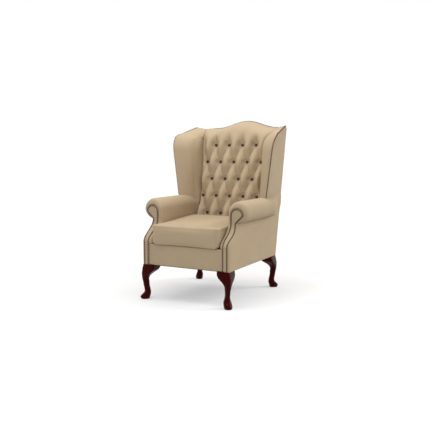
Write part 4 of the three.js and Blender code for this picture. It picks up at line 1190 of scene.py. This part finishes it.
def arm_outside():
    z = finely_edged(BODY_BOTTOM, ROLL_BOTTOM - GAP, PANEL_STEP)[:, None]
    front = arm_front_at(z) + ARM_PANEL_SETBACK
    turn = np.linspace(0, math.pi / 2, 7)[:-1]
    shares = finely_edged(0, 1, 0.02, 0.02)
    corner_x = lerp(facing_out_at(z) + GAP, BODY_HALF, np.sin(turn))
    corner = points(corner_x, front + RETURN_DEPTH * (1 - np.cos(turn)), z)
    side = points(BODY_HALF, lerp(front + RETURN_DEPTH, back_of(z), shares), z)
    inner_corner = points(np.minimum(corner_x, BODY_HALF - COVER), corner[..., 1] + COVER, z)
    inner = np.concatenate([inner_corner, side - [COVER, 0, 0]], axis=1)
    side[..., 0] += PILLOW * from_rim(len(z), len(shares))
    return sharpened(closed_sheet("arm_cover_left", np.concatenate([corner, side], axis=1), inner), 60)


cover_sides(arm_outside(), "outside_arm", 1.0)

# %% The front border and the outside back
BORDER_Y = FRONT + 0.007


def front_border():
    x = finely_edged(GAP - FACING_IN, FACING_IN - GAP, PANEL_STEP)
    z = finely_edged(BODY_BOTTOM, CUSHION_BOTTOM - GAP, PANEL_STEP)[:, None]
    near = np.minimum(z - z[0], z[-1] - z)
    y = BORDER_Y + edge_inset(SOFT_EDGE, near) - PILLOW * from_rim(len(z), len(x))
    return sharpened(closed_sheet("border", points(x, y, z), points(x, BORDER_Y + COVER, z)), 60)


def outside_back():
    x = finely_edged(-BODY_HALF, BODY_HALF, PANEL_STEP)
    shares = finely_edged(0, 1, 0.012, 0.012)[:, None]
    top = back_top_at(x)
    z = BODY_BOTTOM + (top - BODY_BOTTOM) * shares
    near = np.minimum(BODY_HALF - np.abs(x), np.minimum(z - BODY_BOTTOM, top - z))
    y = back_at(z) - edge_inset(SOFT_EDGE, near) + PILLOW * from_rim(len(shares), len(x))
    return sharpened(closed_sheet("back_cover", points(x, y, z), points(x, back_at(z) - COVER, z)), 60)


dress(front_border(), LEATHER, "leather", "chair", "front_border", fill_share=1.0)
dress(outside_back(), LEATHER, "leather", "chair", "outside_back", fill_share=1.0)

# %% [markdown]
# ## The cabriole legs
# A cabriole leg is sawn from a square block and shaped by hand: a square top, a knee that swells past the
# body, a thin ankle and a pad foot turned outwards. The few sections that a carver would draw are kept as
# shares, and a smooth curve is run through them from top to toe.

# %% A leg from its sections
LEG_HEIGHT = BODY_BOTTOM - GAP
LEG_BLOCK = 0.080
SHANK = 0.033
FOOT_LONG = 0.056
FOOT_WIDE = 0.046
LEG_RING = 48

# Height, reach along the diagonal, half sizes along and across it and, in the knee, squareness.
KNEE_SHARES = [
    (1, 0, 0.502, 12),
    (0.94, 0.02, 0.515, 11),
    (0.885, 0.07, 0.52, 8),
    (0.833, 0.13, 0.498, 6),
    (0.77, 0.275, 0.43, 4.2),
    (0.705, 0.405, 0.338, 3.2),
    (0.648, 0.472, 0.284, 2.5),
]
SHANK_SHARES = [
    (0.586, 0.494, 0.63, 0.59),
    (0.495, 0.453, 0.6, 0.52),
    (0.43, 0.439, 0.565, 0.475),
    (0.357, 0.406, 0.56, 0.467),
    (0.286, 0.365, 0.565, 0.505),
    (0.229, 0.345, 0.583, 0.6),
]
FOOT_SHARES = [
    (0.181, 0.367, 0.377, 0.49),
    (0.143, 0.422, 0.452, 0.522),
    (0.095, 0.502, 0.521, 0.533),
    (0.057, 0.539, 0.532, 0.533),
    (0.024, 0.539, 0.49, 0.5),
    (0, 0.53, 0.447, 0.446),
]


def curve_through(places, values, wanted):
    """A smooth curve through values at rising places, which never swings past its neighbours."""
    steps = np.diff(places)
    slopes = np.diff(values) / steps
    bends = np.concatenate([slopes[:1], np.zeros(len(places) - 2), slopes[-1:]])
    same = slopes[:-1] * slopes[1:] > 0
    bends[1:-1][same] = 2 * slopes[:-1][same] * slopes[1:][same] / (slopes[:-1] + slopes[1:])[same]
    k = np.clip(np.searchsorted(places, wanted) - 1, 0, len(steps) - 1)
    t = (wanted - places[k]) / steps[k]
    start = values[k] * (1 + 2 * t) * (1 - t) ** 2 + bends[k] * steps[k] * t * (1 - t) ** 2
    return start + values[k + 1] * t**2 * (3 - 2 * t) + bends[k + 1] * steps[k] * t**2 * (t - 1)


def cabriole_leg():
    rows = [(h, r, side * LEG_BLOCK, side * LEG_BLOCK, square) for h, r, side, square in KNEE_SHARES]
    rows += [(h, r, long * SHANK, wide * SHANK, 2) for h, r, long, wide in SHANK_SHARES]
    rows += [(h, r, long * FOOT_LONG, wide * FOOT_WIDE, 2) for h, r, long, wide in FOOT_SHARES]
    table = np.array(rows)[::-1].T
    shares = np.concatenate([np.linspace(0, 0.1, 12)[:-1], np.linspace(0.1, 1, 62)])
    turns = np.linspace(0, 2 * math.pi, LEG_RING, endpoint=False)
    middle = LEG_BLOCK / 2
    rings = []
    for h, r, a, b, power in zip(*(curve_through(table[0], row, shares) for row in table)):
        x = np.sign(np.cos(turns)) * np.abs(np.cos(turns)) ** (2 / power)
        y = np.sign(np.sin(turns)) * np.abs(np.sin(turns)) ** (2 / power)
        offset = a * (x - y) / 2 + r * LEG_BLOCK / math.sqrt(2)
        sideways = b * (x + y) / 2
        across = BODY_HALF - middle + offset + sideways
        rings.append(points(across, FRONT + middle - offset + sideways, h * LEG_HEIGHT))
    inner = [lerp(rings[-1], rings[-1].mean(axis=0), share) for share in (0.05, 0.5)]
    sole = [lerp(rings[0], rings[0].mean(axis=0), share) for share in (0.5, 0.06)]
    return sharpened(loft("front_leg_left", sole + rings + inner), 60)


def dress_legs(left, row):
    for leg, side in ((left, "left"), (reflected(left, f"{row}_leg_right"), "right")):
        dress(leg, MAHOGANY, "leg_wood", "chair", f"leg_{row}_{side}")


front_leg = cabriole_leg()
dress_legs(front_leg, "front")
dress_legs(reflected(front_leg, "rear_leg_left", 1, (FRONT + back_at(BODY_BOTTOM)) / 2), "rear")
print("legs stand", round(LEG_HEIGHT * 1000), "mm high")

# %% [markdown]
# ## Buttons and nails
# Each button is a domed metal head that is drawn down into its pit. The nails are smaller domes, driven
# close together along every edge where leather ends. Both follow a rule, so one node tree sets a head on
# each point and turns it to face outwards. The nails' tree first divides a line into even steps, as an
# upholsterer does.

# %% A node tree that sets heads
HEAD_SEGMENTS = 10
HEAD_RINGS = 6


def heads_tree(name, along_lines):
    """Sets a flattened dome on each point, or at even steps along lines, turned to the attribute facing."""
    inputs = ["Geometry", "Radius", "Rise", "Spacing", "Finish"]
    tree, given, end = node_group("GeometryNodeTree", name, inputs, ["Geometry"])
    spots, detail, radius = given["Geometry"], 2, given["Radius"]
    if along_lines:
        lines = add(tree, "GeometryNodeMeshToCurve", {"Mesh": spots})
        even = {"Curve": lines, "Length": given["Spacing"]}
        spots, detail = add(tree, "GeometryNodeResampleCurve", even, mode="LENGTH"), 1
    round_ball = {"Radius": 1.0, "Segments": detail * HEAD_SEGMENTS, "Rings": detail * HEAD_RINGS}
    ball = add(tree, "GeometryNodeMeshUVSphere", round_ball)
    size = add(tree, "ShaderNodeCombineXYZ", {"X": radius, "Y": radius, "Z": given["Rise"]})
    head = add(tree, "GeometryNodeTransform", {"Geometry": ball, "Scale": size})
    facing = {"Vector": read(tree, "facing", "FLOAT_VECTOR")}
    way = add(tree, "FunctionNodeAlignRotationToVector", facing, axis="Z")
    heads = add(tree, "GeometryNodeInstanceOnPoints", {"Points": spots, "Instance": head, "Rotation": way})
    real = add(tree, "GeometryNodeRealizeInstances", {"Geometry": heads})
    finished = add(tree, "GeometryNodeSetMaterial", {"Geometry": real, "Material": given["Finish"]})
    feed(tree, end, {"Geometry": finished})
    return tree


def line_mesh(name, lines):
    """A mesh of open lines. Each line is a pair of arrays: its points, and the way its heads face."""
    edges, first = [], 0
    for places, _ in lines:
        edges += [(first + k, first + k + 1) for k in range(len(places) - 1)]
        first += len(places)
    piece = make_mesh(name, np.concatenate([line[0] for line in lines]), [], edges)
    attribute(piece, "facing", np.concatenate([line[1] for line in lines]), "FLOAT_VECTOR")
    return piece


# %% The buttons of the back
BUTTON_RADIUS = 0.0102
BUTTON_RISE = 0.0064
BUTTON_SEAT = 0.0022


def add_buttons():
    """Short and long rows in turn, half a pitch apart."""
    places, names = [], []
    for row in range(BUTTON_ROWS):
        z = TOP_ROW - row * ROW_PITCH
        count = LONG_ROW - 1 + row % 2
        for k in range(count):
            places.append(((k - (count - 1) / 2) * COLUMN_PITCH, button_plane_at(z), z))
            names.append(f"button_r{row + 1}_c{k + 1}")
    outwards = np.array([0, -math.cos(BUTTON_LEAN), math.sin(BUTTON_LEAN)])
    line = np.array(places) + BUTTON_SEAT * outwards, np.tile(outwards, (len(places), 1))
    sizes = dict(Radius=BUTTON_RADIUS, Rise=BUTTON_RISE, Finish=BRONZE)
    buttons = grown(line_mesh("button_places", [line]), heads_tree("buttons", False), "back_buttons", **sizes)
    dress(buttons, BRONZE, "button_metal", "chair", *names)


add_buttons()

# %% The lines of nails
NAIL_SPACING = 0.0104
NAIL_RADIUS = 0.0047
NAIL_RISE = 0.0031
NAIL_MARGIN = 0.0045  # from the edge of a board to the nails' line
BACK_MARGIN = NAIL_MARGIN + 0.002
WING_NAIL_AHEAD = 0.004  # onto the roll, ahead of the wing's outside cover
LINE_STEP = 0.01


def facing_line():
    """Up the inner edge of a facing, round its head and down the outer edge."""
    up = spaced(BODY_BOTTOM + 0.006, SCROLL_Z, LINE_STEP)
    angles = np.linspace(math.pi, 0, 24)[1:-1]
    head = points(np.cos(angles), np.sin(angles)) * (SCROLL_RADIUS - NAIL_MARGIN) + (SCROLL_X, SCROLL_Z)
    outer = points(facing_edges_at(up[::-1])[1] - NAIL_MARGIN, up[::-1])
    x, z = np.concatenate([points(FACING_IN + NAIL_MARGIN, up), head, outer]).T
    slope = (arm_front_at(z + 0.001) - arm_front_at(z - 0.001)) / 0.002
    return points(x, arm_front_at(z), z), unit(points(0, -1, slope))


def wing_line():
    """Up the front of a wing's outside, round its top and along to the ear."""
    first = int(np.argmax(STATIONS[:, 1] > ARM_TOP + 0.002))
    y, z, ahead, up = STATIONS[first : SLOPE_END + 1].T
    x = wing_spread_at(z) + ROLL_PROUD - 0.0010
    places = points(x, y + WING_NAIL_AHEAD * ahead, z + WING_NAIL_AHEAD * up)
    return places, unit(points(1, 0.8 * ahead, 0.8 * up))


def crest_line():
    x = spaced(-seam_at(SHOULDER), seam_at(SHOULDER), LINE_STEP)
    top = crest_at(x)
    return points(x, back_at(top) - NAIL_MARGIN, top + 0.0005), np.tile([0.0, 0.35, 0.94], (len(x), 1))


def back_line():
    """Down one side of the outside back, along its underside and up the other side."""
    low, high = BODY_BOTTOM + BACK_MARGIN, SHOULDER - CORNER_DROP - 2.5 * NAIL_MARGIN
    half = BODY_HALF - BACK_MARGIN
    down = spaced(high, low, LINE_STEP)
    sides = [points(half, down), points(spaced(half, -half, LINE_STEP)[1:-1], low), points(-half, down[::-1])]
    x, z = np.concatenate(sides).T
    outwards = np.array([0, 1, -RAKE]) / math.hypot(1, RAKE)
    return points(x, back_at(z) + 0.0004, z), np.tile(outwards, (len(x), 1))


def add_nails():
    lines = [facing_line(), wing_line()]
    lines += [tuple(part * [-1, 1, 1] for part in line) for line in lines] + [crest_line(), back_line()]
    sizes = dict(Radius=NAIL_RADIUS, Rise=NAIL_RISE, Spacing=NAIL_SPACING, Finish=BRONZE)
    nails = grown(line_mesh("nail_lines", lines), heads_tree("nails", True), "nail_trim", **sizes)
    dress(nails, BRONZE, "nail_metal", "chair")


add_nails()

# %% [markdown]
# ## Deck, under-cloth, frame and springs
# Lifting the cushion shows the deck: a padded platform with leather along its front edge and lining cloth
# behind. Under the seat a black cloth is tacked over the springs. The beech frame and the steel springs
# keep the shapes that they come with and only get their finishes.

# %% The deck
LIP_DEPTH = 0.110  # leather along the front of the deck
DECK_CROWN = 0.004
DECK_EDGE = 0.008
DECK_STEP = 0.012
GROOVE_DEPTH = 0.0025  # where the leather meets the lining
GROOVE_WIDTH = 0.003


def deck():
    low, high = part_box("seat_platform")
    x = finely_edged(low.x, high.x, DECK_STEP, DECK_EDGE)
    y = finely_edged(low.y, high.y, DECK_STEP, DECK_EDGE)[:, None]
    near = np.minimum(np.minimum(x - low.x, high.x - x), np.minimum(y - low.y, high.y - y))
    top = high.z - DECK_CROWN - edge_inset(DECK_EDGE, near) + DECK_CROWN * from_rim(len(y), len(x))
    top = top - GROOVE_DEPTH * np.exp(-(((y - low.y - LIP_DEPTH) / GROOVE_WIDTH) ** 2))
    piece = sharpened(closed_sheet("deck", points(x, y, top), points(x, y, low.z)), 60)
    dress(piece, PLATFORM_CLOTH, "platform_cloth", "chair", "seat_platform", fill_share=0.9)
    piece.data.materials.append(LEATHER)
    in_front = [int(polygon.center.y < low.y + LIP_DEPTH) for polygon in piece.data.polygons]
    piece.data.polygons.foreach_set("material_index", in_front)


deck()

# %% The black cloth under the seat
DUST_SAG = 0.006
DUST_THICK = 0.0006


def dust_cover():
    low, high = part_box("dust_cover")
    notch = LEG_BLOCK + GAP
    side, front, rear = BODY_HALF - notch, FRONT + notch, back_at(BODY_BOTTOM) - notch
    xs = np.unique(np.concatenate([spaced(low.x, high.x, DECK_STEP), [-side, side]]))
    ys = np.unique(np.concatenate([spaced(low.y, high.y, DECK_STEP), [front, rear]]))
    form = bmesh.new()
    grid = {}
    for i, x in enumerate(xs):
        for k, y in enumerate(ys):
            span_x = math.cos(x / high.x * math.pi / 2)
            span_y = math.cos((2 * (y - low.y) / (high.y - low.y) - 1) * math.pi / 2)
            sag = DUST_SAG * max(span_x, 0) ** 0.5 * max(span_y, 0) ** 0.5
            grid[i, k] = form.verts.new((x, y, high.z - DUST_THICK - sag))
    for i in range(len(xs) - 1):
        for k in range(len(ys) - 1):
            at_corner = abs(xs[i] + xs[i + 1]) / 2 > side and not front < (ys[k] + ys[k + 1]) / 2 < rear
            if not at_corner:
                form.faces.new([grid[i, k], grid[i + 1, k], grid[i + 1, k + 1], grid[i, k + 1]])
    loose = [vertex for vertex in form.verts if not vertex.link_faces]
    bmesh.ops.delete(form, geom=loose, context="VERTS")
    bmesh.ops.solidify(form, geom=form.faces[:], thickness=DUST_THICK)
    mesh = bpy.data.meshes.new("under_cloth")
    form.to_mesh(mesh)
    form.free()
    piece = tidy_mesh(placed("under_cloth", mesh))
    dress(piece, DUST_CLOTH, "dust_cloth", "chair", "dust_cover")
    size = (high.x - low.x, high.y - low.y)
    area = size[0] * size[1] - 4 * (high.x - side) * (notch - (low.y - FRONT))
    print(f"under-cloth {size[0] * 1000:.0f} by {size[1] * 1000:.0f} mm, {area:.3f} square metres")


dust_cover()

# %% Finishes of the frame and springs
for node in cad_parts:
    slots = bpy.data.objects[node].material_slots
    if "spring" in node:
        slots[0].material = STEEL
    elif any(word in node for word in ("rail", "post", "board")):
        slots[0].material = BEECH
print("frame and springs have their finishes")

# %% [markdown]
# ## Camera, light and floor
# The chair was photographed from its left front, with the lens a little over seat height, in a white
# studio. Two soft lamps hang close, over the chair and over its front, so the crest is lit more than the
# seat. A distant one on the right, a little behind, lights the outside of the arm and wing that face the
# camera, and a weak one on the left throws the shadow that falls to the right. The white room fills the
# rest.

# %% The camera
camera = placed("camera", bpy.data.cameras.new("camera"))
camera.location = (1.800, -3.4274, 0.883)
camera.rotation_euler = (math.radians(83.81), 0, math.radians(27.74))
camera.data.lens = 50.53
camera.data.sensor_width = 36.0
bpy.context.scene.camera = camera

# %% The lamps
LAMP_AIM = Vector((0, 0, 0.6))
SOFTBOX_SIZE = 0.9
SUN_SOFTNESS = math.radians(24)


def lamp(name, kind, towards, energy):
    """A lamp that shines from the given side."""
    light = placed(name, bpy.data.lights.new(name, kind))
    light.data.energy = energy
    light.rotation_euler = Vector(towards).to_track_quat("Z", "Y").to_euler()
    return light


def sun(name, towards, strength):
    lamp(name, "SUN", towards, strength).data.angle = SUN_SOFTNESS


def softbox(name, offset, strength):
    """A round lamp close by, at an offset from the point that it faces and with its strength there."""
    offset = Vector(offset)
    light = lamp(name, "AREA", offset, strength * math.pi * offset.length_squared)
    light.data.shape = "DISK"
    light.data.size = SOFTBOX_SIZE
    light.location = LAMP_AIM + offset
    light.visible_camera = False


softbox("overhead", (0, 0, 1.5), 0.75)
softbox("front_overhead", (-0.14, -0.82, 1.37), 0.88)
sun("right_rear", (0.7, 0.5, 0.6), 1.13)
sun("left_overhead", (-0.6, -0.1, 1.0), 0.38)
bpy.context.scene.view_settings.view_transform = "Standard"

# %% The world and the floor
WORLD_LIGHT = 0.76
FLOOR_GLOW = 0.375
FLOOR_WHITE = 0.62
FLOOR_HALF = 60.0
WHITE = (1, 1, 1, 1)


def show_white(tree, output, lit, white):
    """Camera, glossy and transmission rays should meet a white studio, the others only what is lit."""
    rays = wires(tree, tree.nodes.new("ShaderNodeLightPath"))
    seen = rays["Is Camera Ray"] + rays["Is Glossy Ray"]
    seen = seen.maths("ADD", rays["Is Transmission Ray"], clamp=True)
    mix = add(tree, "ShaderNodeMixShader", {0: seen, 1: lit, 2: white})
    feed(tree, tree.nodes[output], {"Surface": mix})


def add_world():
    world = bpy.data.worlds.new("studio")
    bpy.context.scene.world = world
    world.use_nodes = True
    tree = world.node_tree
    light = tree.nodes["Background"]
    feed(tree, light, {"Color": WHITE, "Strength": WORLD_LIGHT})
    white = add(tree, "ShaderNodeBackground", {"Color": WHITE, "Strength": 1.0})
    show_white(tree, "World Output", Wire(tree, light.outputs[0]), white)


def add_floor():
    x, y = FLOOR_HALF * np.array([(-1, 1, 1, -1), (-1, -1, 1, 1)])
    floor = make_mesh("floor", points(x, y, 0), [(0, 1, 2, 3)])
    grey = (FLOOR_WHITE, FLOOR_WHITE, FLOOR_WHITE, 1)
    paper = {"Base Color": grey, "Roughness": 1.0, "Specular IOR Level": 0.0}
    material = finish("studio_floor", lambda place: paper)
    tree = material.node_tree
    lit = Wire(tree, tree.nodes["Principled BSDF"].outputs[0])
    glow = add(tree, "ShaderNodeEmission", {"Color": WHITE, "Strength": FLOOR_GLOW})
    show_white(tree, "Material Output", lit, add(tree, "ShaderNodeAddShader", {0: lit, 1: glow}))
    floor.data.materials.append(material)


add_world()
add_floor()
print("camera, four lamps, world and floor are set")
